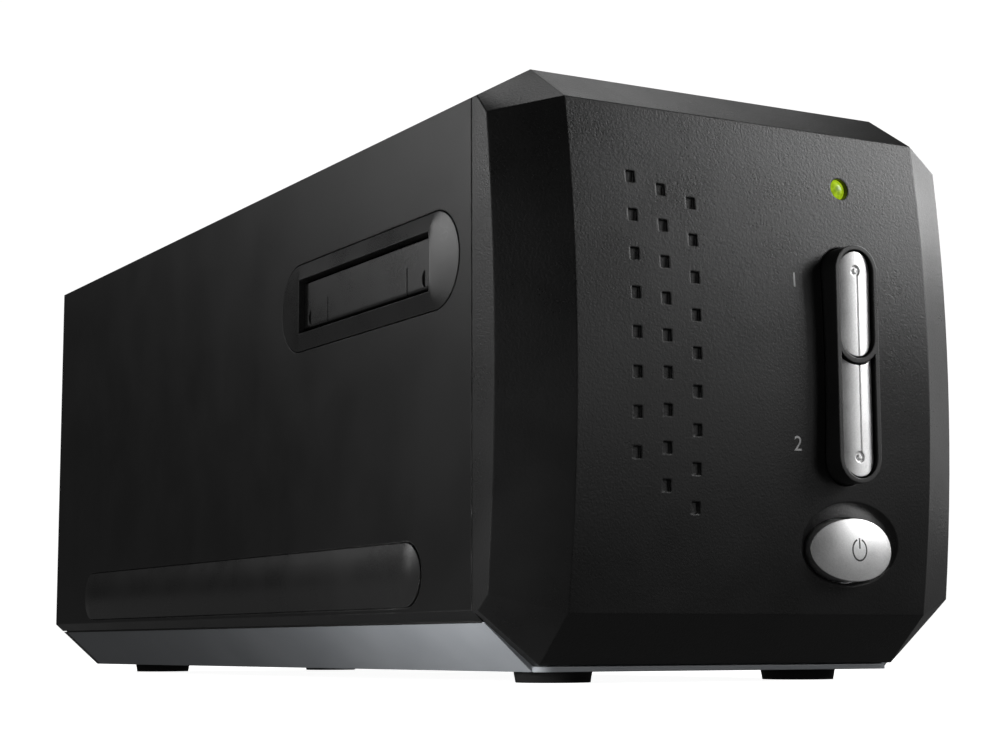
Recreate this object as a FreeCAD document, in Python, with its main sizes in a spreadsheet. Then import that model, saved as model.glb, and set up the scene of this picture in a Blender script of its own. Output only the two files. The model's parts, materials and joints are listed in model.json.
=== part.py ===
"""Desktop film negative scanner, built as a parametric FreeCAD document.

Frame: +Z up, front face towards -Y, origin at the bottom centre of the whole scanner. Millimetres.
"""
import FreeCAD, Part
import math
import os
import Sketcher
from types import SimpleNamespace

V = FreeCAD.Vector

# Driving dimensions
SIZES = {
    # whole body
    "body_width": 110.0,
    "body_depth": 272.0,
    "body_height": 118.8,
    "corner_cut_width": 12.8,
    "top_cut_height": 7.2,
    "bottom_cut_height": 11.5,
    # feet
    "foot_height": 2.2,
    "foot_radius": 7.8,
    "foot_taper": 0.4,
    "front_foot_inset": 12.2,
    "front_foot_setback": 30.0,
    "rear_foot_inset": 15.2,
    "rear_foot_setback": 14.0,
    # fits
    "fit_gap": 0.25,
    "sliding_gap": 0.05,
    "overrun": 1.0,
    # sheet cover
    "cover_wall": 1.5,
    "cover_wrap": 1.9,
    "cover_tab_width": 10.0,
    "cover_tab_drop": 9.0,
    "cover_tab_wall": 2.0,
    "cover_tab_x": 30.0,
    # base tray
    "base_wall": 2.0,
    "base_flange_height": 20.0,
    "base_lip": 1.0,
    "base_lip_corner": 3.0,
    # front bezel
    "bezel_depth": 17.2,
    "bezel_wall": 2.4,
    "face_bow": 3.9,
    "face_top_drop": 8.3,
    "face_bottom_rise": 10.8,
    "strip_setback": 11.4,
    "strip_bow": 2.8,
    "strip_top_drop": 4.1,
    "strip_bottom_rise": 2.8,
    "corner_setback": 15.2,
    "top_edge_setback": 16.7,
    "bottom_edge_setback": 14.5,
    # dimples in the bezel face
    "dimple_width": 2.0,
    "dimple_height": 2.3,
    "dimple_depth": 0.7,
    # scan button surround
    "surround_radius": 5.2,
    "surround_rise": 4.0,
    "surround_rim": 0.95,
    "surround_flange": 1.6,
    "surround_flange_wall": 1.4,
    "surround_seat": 1.2,
    "divider_wall": 1.05,
    # scan buttons
    "button_gap": 0.35,
    "button_crown_sink": 0.3,
    "button_crown": 0.7,
    "button_flange": 0.9,
    "button_flange_wall": 1.0,
    "button_travel": 0.8,
    "button_groove_width": 0.36,
    "button_groove_depth": 0.3,
    "button_groove_shift": 0.35,
    "button_ring_radius": 1.1,
    "button_ring_depth": 0.35,
    "button_dot_radius": 0.5,
    # power button
    "power_major": 10.1,
    "power_minor": 6.2,
    "power_rise": 2.4,
    "power_dome": 1.9,
    "power_dish_margin": 1.9,
    "power_dish_depth": 1.3,
    "power_collar_wall": 1.6,
    # status light
    "light_radius": 2.15,
    "light_sink": 0.4,
    "light_dome_radius": 3.2,
    # button board behind the face
    "button_board_wall": 1.6,
    "button_board_gap": 1.0,
    "button_board_width": 30.0,
    "button_board_foot": 8.8,
    "button_board_head": 8.0,
    "board_boss_radius": 2.4,
    "board_boss_inset": 3.0,
    "board_boss_low": 11.2,
    "board_boss_high": 4.4,
    "switch_width": 6.0,
    "switch_depth": 3.6,
    "plunger_radius": 1.7,
    "plunger_rise": 1.8,
    "plunger_root": 0.8,
    "led_chip_width": 3.0,
    "led_chip_depth": 1.4,
    # film gate in each side
    "gate_setback": 47.5,
    "gate_drop": 36.6,
    "gate_length": 85.0,
    "gate_radius": 9.75,
    "gate_rise": 1.0,
    "gate_shoulder": 0.1,
    "gate_flange": 2.5,
    "gate_flange_wall": 1.5,
    "gate_tunnel_depth": 7.0,
    "gate_tunnel_wall": 2.2,
    "window_length": 63.0,
    "window_height": 12.1,
    # dust door
    "door_sink": 0.5,
    "door_wall": 1.8,
    "door_height": 9.5,
    "door_pin_radius": 0.85,
    "door_pin_length": 1.7,
    "door_axis_rise": 1.8,
    "door_slit_offset": 19.2,
    "door_slit_width": 0.4,
    "door_slit_height": 5.0,
    "door_notch_offset": 27.6,
    "door_notch_radius": 1.8,
    "door_notch_rise": 1.6,
    "door_notch_depth": 0.9,
    # raised pad low on each side
    "pad_front_setback": 20.9,
    "pad_rear_setback": 27.1,
    "pad_lift": 1.1,
    "pad_radius": 6.3,
    "pad_rise": 1.2,
    "pad_edge_rise": 0.3,
    "pad_recess": 0.5,
    "pad_peg_radius": 1.5,
    # rear panel
    "rear_panel_wall": 2.5,
    "vent_length": 36.0,
    "vent_height": 2.0,
    "vent_pitch": 5.0,
    "lock_width": 3.0,
    "lock_height": 7.0,
    # screws
    "screw_radius": 1.3,
    "screw_head_radius": 2.6,
    "screw_head_height": 1.4,
    "screw_length": 7.0,
    "bezel_tab_x": 16.0,
    "bezel_tab_height": 7.0,
    "bezel_tab_width": 8.0,
    "bezel_tab_reach": 8.0,
    "bezel_tab_root": 2.0,
    "rear_screw_inset": 2.8,
    "rear_boss_height": 9.0,
    "rear_boss_radius": 3.2,
    "rear_boss_depth": 8.0,
    # optical frame
    "frame_side_gap": 7.1,
    "frame_wall": 3.0,
    "frame_rear_gap": 40.0,
    "frame_high_margin": 2.3,
    "frame_slope": 18.0,
    "frame_post_radius": 4.0,
    "frame_post_side_inset": 8.4,
    "frame_post_end_inset": 10.0,
    # film guides
    "guide_door_gap": 0.7,
    "guide_length": 68.0,
    "guide_wall": 2.0,
    "guide_step": 0.5,
    "guide_rail": 2.8,
    "guide_floor_rise": 0.75,
    "guide_channel": 9.0,
    "aperture_width": 38.0,
    "aperture_length": 26.0,
    "spring_length": 26.0,
    "spring_wall": 0.4,
    "spring_height": 5.0,
    "spring_bow": 1.2,
    # lamp
    "lamp_half_width": 30.0,
    "lamp_half_length": 26.0,
    "lamp_top_gap": 7.5,
    "lamp_wall": 2.0,
    "lamp_board_wall": 1.6,
    "lamp_led_size": 3.0,
    "lamp_led_pitch": 8.0,
    "diffuser_wall": 2.0,
    # guide rods and carriage
    "rod_wall_gap": 8.4,
    "rod_seat": 1.8,
    "bush_length": 10.0,
    "carriage_side_gap": 2.4,
    "carriage_floor_gap": 2.0,
    "carriage_plate_root": 6.0,
    "carriage_front_gap": 3.0,
    "carriage_travel": 36.0,
    "carriage_rear_gap": 11.0,
    "carriage_recess_floor": 4.0,
    "rod_land": 3.7,
    "screw_channel_half_width": 5.5,
    "carriage_rod_gap": 0.6,
    # optics on the carriage
    "mirror_front_gap": 0.8,
    "mirror_wall": 2.0,
    "mirror_box_half_width": 24.0,
    "mirror_rear_gap": 4.8,
    "mirror_box_wall": 2.0,
    "light_slot_length": 6.0,
    "lens_length": 26.0,
    "lens_wall": 1.6,
    "lens_glass_wall": 3.0,
    "saddle_length": 16.0,
    "saddle_margin": 4.0,
    "strap_wall": 1.6,
    "sensor_wall": 3.0,
    "sensor_half_width": 20.0,
    "sensor_board_wall": 1.6,
    "sensor_chip_half_width": 16.0,
    "flag_wall_gap": 5.4,
    "flag_wall": 1.0,
    "flag_length": 6.0,
    "home_sensor_length": 12.0,
    "home_sensor_width": 8.9,
    "home_slot_width": 2.0,
    # drive
    "lead_screw_radius": 2.5,
    "nut_length": 14.0,
    "bearing_radius": 4.5,
    "motor_radius": 12.0,
    "motor_length": 20.0,
    "motor_bracket_wall": 2.0,
    "motor_bracket_half_width": 20.0,
    "motor_bracket_margin": 3.0,
    "motor_hub_radius": 5.0,
    "motor_hub_length": 1.6,
    "motor_bore_depth": 12.0,
    # main board
    "board_side_gap": 2.0,
    "board_length": 102.0,
    "board_rear_gap": 6.0,
    "board_height": 6.0,
    "board_wall": 1.6,
    "standoff_radius": 3.0,
    "standoff_inset": 5.0,
    "chip_height": 2.4,
    "chip_size": 14.0,
    "usb_screw_gap": 0.4,
    "usb_width": 12.0,
    "usb_height": 10.8,
    "usb_depth": 16.0,
    "usb_wall": 1.0,
    "usb_tongue_width": 5.6,
    "usb_tongue_height": 3.2,
    "jack_screw_gap": 3.9,
    "jack_width": 9.0,
    "jack_height": 11.0,
    "jack_depth": 14.0,
    "jack_bore": 3.2,
    "jack_pin": 1.0,
    "jack_bore_depth": 10.0,
}

# Counts and proportions
COLUMN_COUNTS = (8, 9, 9)
VENT_COUNT = 5
INNER_FACE_SHARE = 0.6
INNER_SIDE_SHARE = 0.3
DOOR_NOTCH_SHARE = 0.25
CHIP_PLACE_SHARES = ((-0.5, 0.15), (0.35, 0.2), (-0.45, 0.5), (0.3, 0.55))
LED_COLUMNS = 4
LED_ROWS = 3

# Places across the face, from its middle, in its half width
COLUMN_X_SHARE = -0.5237
COLUMN_PITCH_SHARE = 0.1611
SURROUND_X_SHARE = 0.4905
POWER_X_SHARE = 0.5261
LIGHT_X_SHARE = 0.519

# Places up the face, from its lower edge, in its height
COLUMN_TOP_SHARES = (0.8503, 0.8308, 0.8103)
COLUMN_BOTTOM_SHARES = (0.3077, 0.2462, 0.2051)
POWER_Z_SHARE = 0.1303
SURROUND_Z_SHARE = 0.5067
SURROUND_LENGTH_SHARE = 0.4882
LIGHT_Z_SHARE = 0.881
DIVIDER_SHARE = 0.1113

# Places on the sides and the rear
PAD_PEG_SHARE = 0.411
VENT_LOW_SHARE = 0.521
LOCK_X_SHARE = 0.6545
LOCK_Z_SHARE = 0.2521

# Inside: the frame between the base and the film, and the optics on the carriage
FRAME_LIFT_SHARE = 0.31655
FRAME_REAR_SHARE = 0.2593
CARRIAGE_PLATE_SHARE = 0.08421
BUSH_RADIUS_SHARE = 0.43
ROD_RADIUS_SHARE = 0.25
OPTICS_GAP_SHARE = 0.1158
OPTIC_DROP_SHARE = 0.5185
MIRROR_LENGTH_SHARE = 0.8889
LENS_PLACE_SHARE = 0.5383
LENS_RADIUS_SHARE = 0.3333
SENSOR_RISE_SHARE = 0.4444
SENSOR_CHIP_SHARE = 0.1852
FLAG_HEIGHT_SHARE = 0.2778
HOME_HEIGHT_SHARE = 0.3704
HOME_SLOT_SHARE = 0.2222
HOME_RISE_SHARE = 0.0926


class Size:
    """A length that carries its formula in the sheet along with its value."""

    def __init__(self, formula, value):
        self.formula = formula
        self.value = value

    def __add__(self, other):
        other = as_size(other)
        return Size(f"({self.formula} + {other.formula})", self.value + other.value)

    def __sub__(self, other):
        other = as_size(other)
        return Size(f"({self.formula} - {other.formula})", self.value - other.value)

    def __mul__(self, other):
        other = as_size(other)
        return Size(f"({self.formula} * {other.formula})", self.value * other.value)

    def __truediv__(self, other):
        other = as_size(other)
        return Size(f"({self.formula} / {other.formula})", self.value / other.value)

    def __rmul__(self, other):
        return as_size(other) * self

    def __neg__(self):
        return Size(f"(0 - {self.formula})", -self.value)


def as_size(item):
    return item if isinstance(item, Size) else Size(f"({float(item)})", float(item))


def root(size):
    return Size(f"sqrt({size.formula})", math.sqrt(size.value))


def about(centre, half):
    """The span that reaches half to each side of centre."""
    return (centre - half, centre + half)


doc = FreeCAD.newDocument("film_negative_scanner")
sheet = doc.addObject("Spreadsheet::Sheet", "Sizes")
for row, (alias, number) in enumerate(SIZES.items(), start=1):
    sheet.set(f"A{row}", alias)
    sheet.set(f"B{row}", str(number))
    sheet.setAlias(f"B{row}", alias)
doc.recompute()
S = SimpleNamespace(**{alias: Size(f"Sizes.{alias}", number) for alias, number in SIZES.items()})
ZERO = as_size(0)
SUBPARTS = {}


# Solids bound to the sheet

TURNS = {
    "x": FreeCAD.Rotation(V(0, 1, 0), 90),
    "y": FreeCAD.Rotation(V(1, 0, 0), -90),
    "z": FreeCAD.Rotation(),
}


def bind(obj, **sizes):
    for prop, size in sizes.items():
        obj.setExpression(prop, as_size(size).formula)


def place(obj, spot):
    for axis, size in zip("xyz", spot):
        obj.setExpression(f"Placement.Base.{axis}", as_size(size).formula)


def spot_on(axis, along, across):
    """The point at along on the axis, and at the two across values on the others."""
    order = {"x": (along, *across), "y": (across[0], along, across[1]), "z": (*across, along)}
    return order[axis]


def block(name, x, y, z):
    obj = doc.addObject("Part::Box", name)
    bind(obj, Length=x[1] - x[0], Width=y[1] - y[0], Height=z[1] - z[0])
    place(obj, (x[0], y[0], z[0]))
    return obj


def cylinder(name, axis, radius, span, centre):
    obj = doc.addObject("Part::Cylinder", name)
    obj.Placement = FreeCAD.Placement(V(), TURNS[axis])
    bind(obj, Radius=radius, Height=span[1] - span[0])
    place(obj, spot_on(axis, span[0], centre))
    return obj


def sphere(name, radius, centre):
    obj = doc.addObject("Part::Sphere", name)
    bind(obj, Radius=radius)
    place(obj, centre)
    return obj


def fuse(name, *items):
    obj = doc.addObject("Part::MultiFuse", name)
    obj.Shapes = list(items)
    obj.Refine = True
    return obj


def common(name, *items):
    obj = doc.addObject("Part::MultiCommon", name)
    obj.Shapes = list(items)
    return obj


def group(name, *items):
    obj = doc.addObject("Part::Compound", name)
    obj.Links = list(items)
    return obj


def cut(name, base, *tools):
    obj = doc.addObject("Part::Cut", name)
    obj.Base = base
    obj.Tool = tools[0] if len(tools) == 1 else group(f"{name}_tools", *tools)
    obj.Refine = True
    return obj


def mirrored(name, source):
    """The twin of a left-hand piece on the right."""
    obj = doc.addObject("Part::Mirroring", name)
    obj.Source = source
    obj.Normal = V(1, 0, 0)
    return obj


def stadium(name, axis, centre, length, radius, span):
    """A plate with round ends: long along Y where it faces X, and along Z where it faces Y."""
    reach = length / 2 - radius
    if axis == "x":
        middle = block(f"{name}_middle", span, about(centre[0], reach), about(centre[1], radius))
        ends = [(centre[0] - reach, centre[1]), (centre[0] + reach, centre[1])]
    else:
        middle = block(f"{name}_middle", about(centre[0], radius), span, about(centre[1], reach))
        ends = [(centre[0], centre[1] - reach), (centre[0], centre[1] + reach)]
    rounds = [cylinder(f"{name}_end_{n}", axis, radius, span, end) for n, end in enumerate(ends, start=1)]
    return fuse(name, middle, *rounds)


def ellipse(name, major, minor, y, centre):
    obj = doc.addObject("Part::Ellipse", name)
    obj.Placement = FreeCAD.Placement(V(), FreeCAD.Rotation(V(1, 0, 0), 90))
    bind(obj, MajorRadius=major, MinorRadius=minor)
    place(obj, (centre[0], y, centre[1]))
    return obj


def ellipse_prism(name, major, minor, span, centre):
    obj = doc.addObject("Part::Extrusion", name)
    obj.Base = ellipse(f"{name}_outline", major, minor, span[0], centre)
    obj.DirMode = "Custom"
    obj.Dir = V(0, 1, 0)
    obj.Solid = True
    bind(obj, LengthFwd=span[1] - span[0])
    return obj


def subpart(name, obj):
    obj.Label = name
    SUBPARTS[name] = obj
    return obj


# Sketched solids

PLANES = {"x": "YZ_Plane", "y": "XZ_Plane", "z": "XY_Plane"}


def arc_centre(start, end, bulge):
    """Centre of the arc that leaves a chord along the second sketch axis by bulge, sideways."""
    half = (end[1] - start[1]) / 2
    return (start[0] + (bulge * bulge - half * half) / (2 * bulge), (start[1] + end[1]) / 2)


def add_edge(sketch, start, end, bulge):
    """Adds a line or an arc, and returns which of its ends is the start and which the end."""
    first = V(start[0].value, start[1].value, 0)
    last = V(end[0].value, end[1].value, 0)
    if bulge is None:
        sketch.addGeometry(Part.LineSegment(first, last))
        return 1, 2
    middle = V(start[0].value + bulge.value, (first.y + last.y) / 2, 0)
    sketch.addGeometry(Part.Arc(first, middle, last))
    edge = sketch.Geometry[sketch.GeometryCount - 1]
    starts_first = edge.StartPoint.distanceToPoint(first) < edge.StartPoint.distanceToPoint(last)
    return (1, 2) if starts_first else (2, 1)


def hold(sketch, kind, edge, end, size):
    index = sketch.addConstraint(Sketcher.Constraint(kind, -1, 1, edge, end, size.value))
    sketch.setExpression(f"Constraints[{index}]", size.formula)


def outline(owner, name, axis, offset, vertices, bulges=None):
    """A closed sketch square to axis at offset; bulges turns the edge after a vertex into an arc."""
    bulges = bulges or {}
    vertices = [tuple(as_size(value) for value in vertex) for vertex in vertices]
    sketch = owner.newObject("Sketcher::SketchObject", name)
    plane = next(f for f in owner.Origin.OriginFeatures if f.Role == PLANES[axis])
    sketch.AttachmentSupport = (plane, "")
    sketch.MapMode = "FlatFace"
    shift = -as_size(offset) if axis == "y" else as_size(offset)
    sketch.setExpression("AttachmentOffset.Base.z", shift.formula)
    count = len(vertices)
    ends = []
    for n in range(count):
        ends.append(add_edge(sketch, vertices[n], vertices[(n + 1) % count], bulges.get(n)))
    for n in range(count):
        after = (n + 1) % count
        sketch.addConstraint(Sketcher.Constraint("Coincident", n, ends[n][1], after, ends[after][0]))
    for n, vertex in enumerate(vertices):
        hold(sketch, "DistanceX", n, ends[n][0], vertex[0])
        hold(sketch, "DistanceY", n, ends[n][0], vertex[1])
    for n, bulge in bulges.items():
        centre = arc_centre(vertices[n], vertices[(n + 1) % count], bulge)
        hold(sketch, "DistanceX", n, 3, centre[0])
    return sketch


def new_body(name):
    return doc.addObject("PartDesign::Body", name)


def pad(owner, name, axis, span, vertices, bulges=None):
    offset = span[1] if axis == "y" else span[0]
    profile = outline(owner, f"{name}_outline", axis, offset, vertices, bulges)
    feature = owner.newObject("PartDesign::Pad", name)
    feature.Profile = profile
    bind(feature, Length=span[1] - span[0])
    return feature


def pocket(owner, name, axis, span, vertices, bulges=None):
    offset = span[0] if axis == "y" else span[1]
    profile = outline(owner, f"{name}_outline", axis, offset, vertices, bulges)
    feature = owner.newObject("PartDesign::Pocket", name)
    feature.Profile = profile
    bind(feature, Length=span[1] - span[0])
    return feature


def loft(owner, name, sections):
    feature = owner.newObject("PartDesign::AdditiveLoft", name)
    feature.Profile = sections[0]
    feature.Sections = sections[1:]
    feature.Ruled = True
    return feature


def rectangle(u, v):
    return [(u[0], v[0]), (u[1], v[0]), (u[1], v[1]), (u[0], v[1])]


def both_sides(points):
    """A path and its mirror image, joined into one closed outline."""
    return points + [(-u, v) for u, v in reversed(points)]


def ordered(first, second):
    return (first, second) if first.value <= second.value else (second, first)


def screw(name, axis, outer_face, centre, length, inward=1):
    """A screw along axis whose head's outer face lies at outer_face; its shank has the length given."""
    head_end = outer_face + inward * S.screw_head_height
    head_span = ordered(outer_face, head_end)
    shank_span = ordered(head_end, head_end + inward * length)
    head = cylinder(f"{name}_head", axis, S.screw_head_radius, head_span, centre)
    shank = cylinder(f"{name}_shank", axis, S.screw_radius, shank_span, centre)
    return fuse(name, head, shank)


def screw_recess(name, axis, outer_face, centre, inward):
    """The counterbore that takes a screw's head below a face."""
    span = ordered(outer_face - inward * S.overrun, outer_face + inward * S.screw_head_height)
    return cylinder(name, axis, S.screw_head_radius + S.fit_gap, span, centre)


# Places that several sub-parts share

half_width = S.body_width / 2
rear = (S.body_depth + S.surround_rise) / 2
apex = rear - S.body_depth
seam = apex + S.bezel_depth
face_half_width = half_width - S.corner_cut_width
face_edge = apex + S.face_bow
face_top = S.body_height - S.face_top_drop
face_bottom = S.foot_height + S.face_bottom_rise
surround_front = apex - S.surround_rise
cover_inner_x = half_width - S.cover_wall


def section(inset):
    """The octagonal cross-section drawn in by inset, with walls as thick on its slopes as on its flats."""
    inset = as_size(inset)

    def slope(width, height):
        length = root(width * width + height * height)
        return (width - inset + inset * (length - width) / height,
                height - inset + inset * (length - height) / width)

    top_cut = slope(S.corner_cut_width, S.top_cut_height)
    bottom_cut = slope(S.corner_cut_width, S.bottom_cut_height)
    half = half_width - inset
    top = S.body_height - inset
    bottom = S.foot_height + inset
    return SimpleNamespace(
        half=half, top=top, bottom=bottom, side_top=top - top_cut[1], side_bottom=bottom + bottom_cut[1],
        top_half=half - top_cut[0], bottom_half=half - bottom_cut[0],
        lower_slope=bottom_cut[0] / bottom_cut[1])


def lower_slope_x(shape, z):
    """Half width of the lower slope of a section at height z."""
    return shape.half - shape.lower_slope * (shape.side_bottom - z)


outer = section(0)
cover_inner = section(S.cover_wall)
lining = section(S.cover_wall + S.fit_gap)
trough = section(S.cover_wall + S.fit_gap + S.base_wall)
cover_edge_z = outer.side_bottom - S.cover_wrap
cover_tab_screw_z = cover_inner.top - S.cover_tab_drop / 2
panel_face = rear - S.rear_panel_wall
base_rear = panel_face - S.fit_gap
base_floor = S.foot_height + S.base_wall
base_top = S.foot_height + S.base_flange_height
rear_screw_x = lower_slope_x(trough, base_floor) - S.rear_screw_inset
rear_screw_low_z = base_floor + S.rear_boss_height / 2
bezel_tab_screw_y = seam + S.bezel_tab_reach / 2

# film gate and door
gate_y = seam + S.gate_setback
gate_z = S.body_height - S.gate_drop
gate_centre = (gate_y, gate_z)
window_y = about(gate_y, S.window_length / 2)
window_z = about(gate_z, S.window_height / 2)
door_face_x = -half_width + S.door_sink
door_axis_x = door_face_x + S.door_wall / 2
door_axis_z = window_z[0] + S.door_axis_rise

# side pads
pad_y = (seam + S.pad_front_setback + rear - S.pad_rear_setback) / 2
pad_z = outer.side_bottom + S.pad_lift + S.pad_radius
pad_length = rear - S.pad_rear_setback - seam - S.pad_front_setback
pad_peg_spacing = PAD_PEG_SHARE * pad_length

# rear panel
vent_low_z = VENT_LOW_SHARE * S.body_height
lock_x = LOCK_X_SHARE * half_width
lock_z = LOCK_Z_SHARE * S.body_height

# keys on the front and what lies behind them
face_height = face_top - face_bottom
power_x = POWER_X_SHARE * face_half_width
power_z = face_bottom + POWER_Z_SHARE * face_height
surround_x = SURROUND_X_SHARE * face_half_width
surround_z = face_bottom + SURROUND_Z_SHARE * face_height
surround_length = SURROUND_LENGTH_SHARE * face_height
light_x = LIGHT_X_SHARE * face_half_width
light_z = face_bottom + LIGHT_Z_SHARE * face_height
divider_z = surround_z + DIVIDER_SHARE * surround_length
pocket_radius = S.surround_radius - S.surround_rim
upper_end_z = surround_z + surround_length / 2 - S.surround_radius
lower_end_z = surround_z - surround_length / 2 + S.surround_radius
surround_flange_front = apex + S.bezel_wall + S.surround_seat
surround_rear = surround_flange_front + S.surround_flange_wall
button_tip = surround_front + S.button_crown_sink
power_flange_front = face_edge + S.bezel_wall
button_board_front = seam + S.button_board_gap
plunger_tip = button_board_front - S.switch_depth - S.plunger_rise
button_board_bottom = power_z - S.button_board_foot
button_board_top = light_z + S.button_board_head

# film guides and the frame that carries them
guide_floor = window_z[0] + S.guide_floor_rise
guide_bottom = guide_floor - S.guide_step - S.guide_wall
guide_ceiling = guide_floor + S.guide_channel
guide_top = guide_ceiling + S.guide_wall
guide_y = about(gate_y, S.guide_length / 2)
guide_x = about(ZERO, -door_axis_x - S.door_height - S.guide_door_gap)
frame_half_width = cover_inner_x - S.frame_side_gap
frame_inner_x = frame_half_width - S.frame_wall
frame_bottom = base_floor + FRAME_LIFT_SHARE * (guide_bottom - base_floor)
frame_floor = frame_bottom + S.frame_wall
frame_rear = rear - S.frame_rear_gap
frame_post_x = frame_half_width - S.frame_post_side_inset

# carriage and optics, from the frame's height
frame_height = guide_bottom - frame_bottom
carriage_plate = S.carriage_plate_root + CARRIAGE_PLATE_SHARE * frame_height
bush_radius = BUSH_RADIUS_SHARE * carriage_plate
rod_radius = ROD_RADIUS_SHARE * carriage_plate
rod_x = frame_inner_x - S.rod_wall_gap
carriage_half_width = frame_inner_x - S.carriage_side_gap
recess_half_width = rod_x - bush_radius - S.rod_land
carriage_bottom = frame_floor + S.carriage_floor_gap
carriage_top = carriage_bottom + carriage_plate
rod_z = carriage_bottom + carriage_plate / 2
mirror_box_top = guide_bottom - OPTICS_GAP_SHARE * frame_height
optics_height = mirror_box_top - carriage_top
frame_rear_top = carriage_top + FRAME_REAR_SHARE * optics_height
optic_z = mirror_box_top - OPTIC_DROP_SHARE * optics_height
mirror_length = MIRROR_LENGTH_SHARE * optics_height
mirror_reach = mirror_length / 2 / math.sqrt(2)
mirror_skin = S.mirror_wall / math.sqrt(2)
mirror_setback = mirror_reach + mirror_skin + S.mirror_front_gap + S.mirror_box_wall
mirror_y = gate_y - S.carriage_travel / 2
carriage_y = (mirror_y - mirror_setback,
              frame_rear - S.frame_wall - S.carriage_travel - S.carriage_rear_gap)
frame_front = carriage_y[0] - S.carriage_front_gap - S.frame_wall
mirror_box_y = (carriage_y[0], mirror_y + mirror_reach + S.mirror_rear_gap)
lens_radius = LENS_RADIUS_SHARE * optics_height
saddle_half_width = lens_radius + S.saddle_margin
sensor_y = carriage_y[1] - S.nut_length
lens_y = mirror_y + LENS_PLACE_SHARE * (sensor_y - mirror_y)
sensor_top = optic_z + SENSOR_RISE_SHARE * optics_height
sensor_chip_half_height = SENSOR_CHIP_SHARE * optics_height
flag_x = -frame_inner_x + S.flag_wall_gap
home_sensor_bottom = carriage_top + HOME_RISE_SHARE * optics_height

# main board
board_z = base_floor + S.board_height
board_top = board_z + S.board_wall
board_half_width = frame_post_x - S.frame_post_radius - S.board_side_gap
board_rear = rear - S.board_rear_gap
board_front = board_rear - S.board_length
standoff_x = board_half_width - S.standoff_inset
usb_x = S.usb_width / 2 + S.usb_screw_gap + S.screw_head_radius - standoff_x
jack_x = standoff_x - S.screw_head_radius - S.jack_screw_gap - S.jack_width / 2


# Casing

def make_top_cover():
    """Folded sheet: a roof with cut corners, two sides and hems round the base's slopes."""
    body = new_body("cover_sheet")
    outside = [
        (lower_slope_x(outer, cover_edge_z), cover_edge_z), (outer.half, outer.side_bottom),
        (outer.half, outer.side_top), (outer.top_half, outer.top)]
    inside = [
        (lower_slope_x(cover_inner, cover_edge_z), cover_edge_z),
        (cover_inner.half, cover_inner.side_bottom),
        (cover_inner.half, cover_inner.side_top), (cover_inner.top_half, cover_inner.top)]
    sheet_path = both_sides(outside) + [(-u, v) for u, v in inside] + list(reversed(inside))
    pad(body, "cover_fold", "y", (seam + S.fit_gap, rear), sheet_path)
    tab_z = (cover_inner.top - S.cover_tab_drop, cover_inner.top + S.cover_wall / 2)
    tab_y = (base_rear - S.cover_tab_wall, base_rear)
    tabs = []
    tools = []
    for side in (-1, 1):
        centre = side * S.cover_tab_x
        tabs.append(block(f"cover_tab_{side}", about(centre, S.cover_tab_width / 2), tab_y, tab_z))
        tools.append(cylinder(f"cover_tab_hole_{side}", "y", S.screw_radius + S.sliding_gap,
                              (tab_y[0] - S.overrun, tab_y[1] + S.overrun), (centre, cover_tab_screw_z)))
        through = ordered(side * (cover_inner_x - S.overrun), side * (half_width + S.overrun))
        tools.append(stadium(f"cover_gate_hole_{side}", "x", gate_centre, S.gate_length + 2 * S.fit_gap,
                             S.gate_radius + S.fit_gap, through))
        seat = ordered(side * (half_width - S.pad_recess), side * (half_width + S.overrun))
        tools.append(stadium(f"cover_pad_seat_{side}", "x", (pad_y, pad_z), pad_length + 2 * S.fit_gap,
                             S.pad_radius + S.fit_gap, seat))
        for n in (-1, 0, 1):
            tools.append(cylinder(f"cover_peg_hole_{side}_{n}", "x", S.pad_peg_radius + S.sliding_gap, through,
                                  (pad_y + n * pad_peg_spacing, pad_z)))
    return subpart("top_cover", cut("cover_cut", fuse("cover_tabbed", body, *tabs), *tools))


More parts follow.
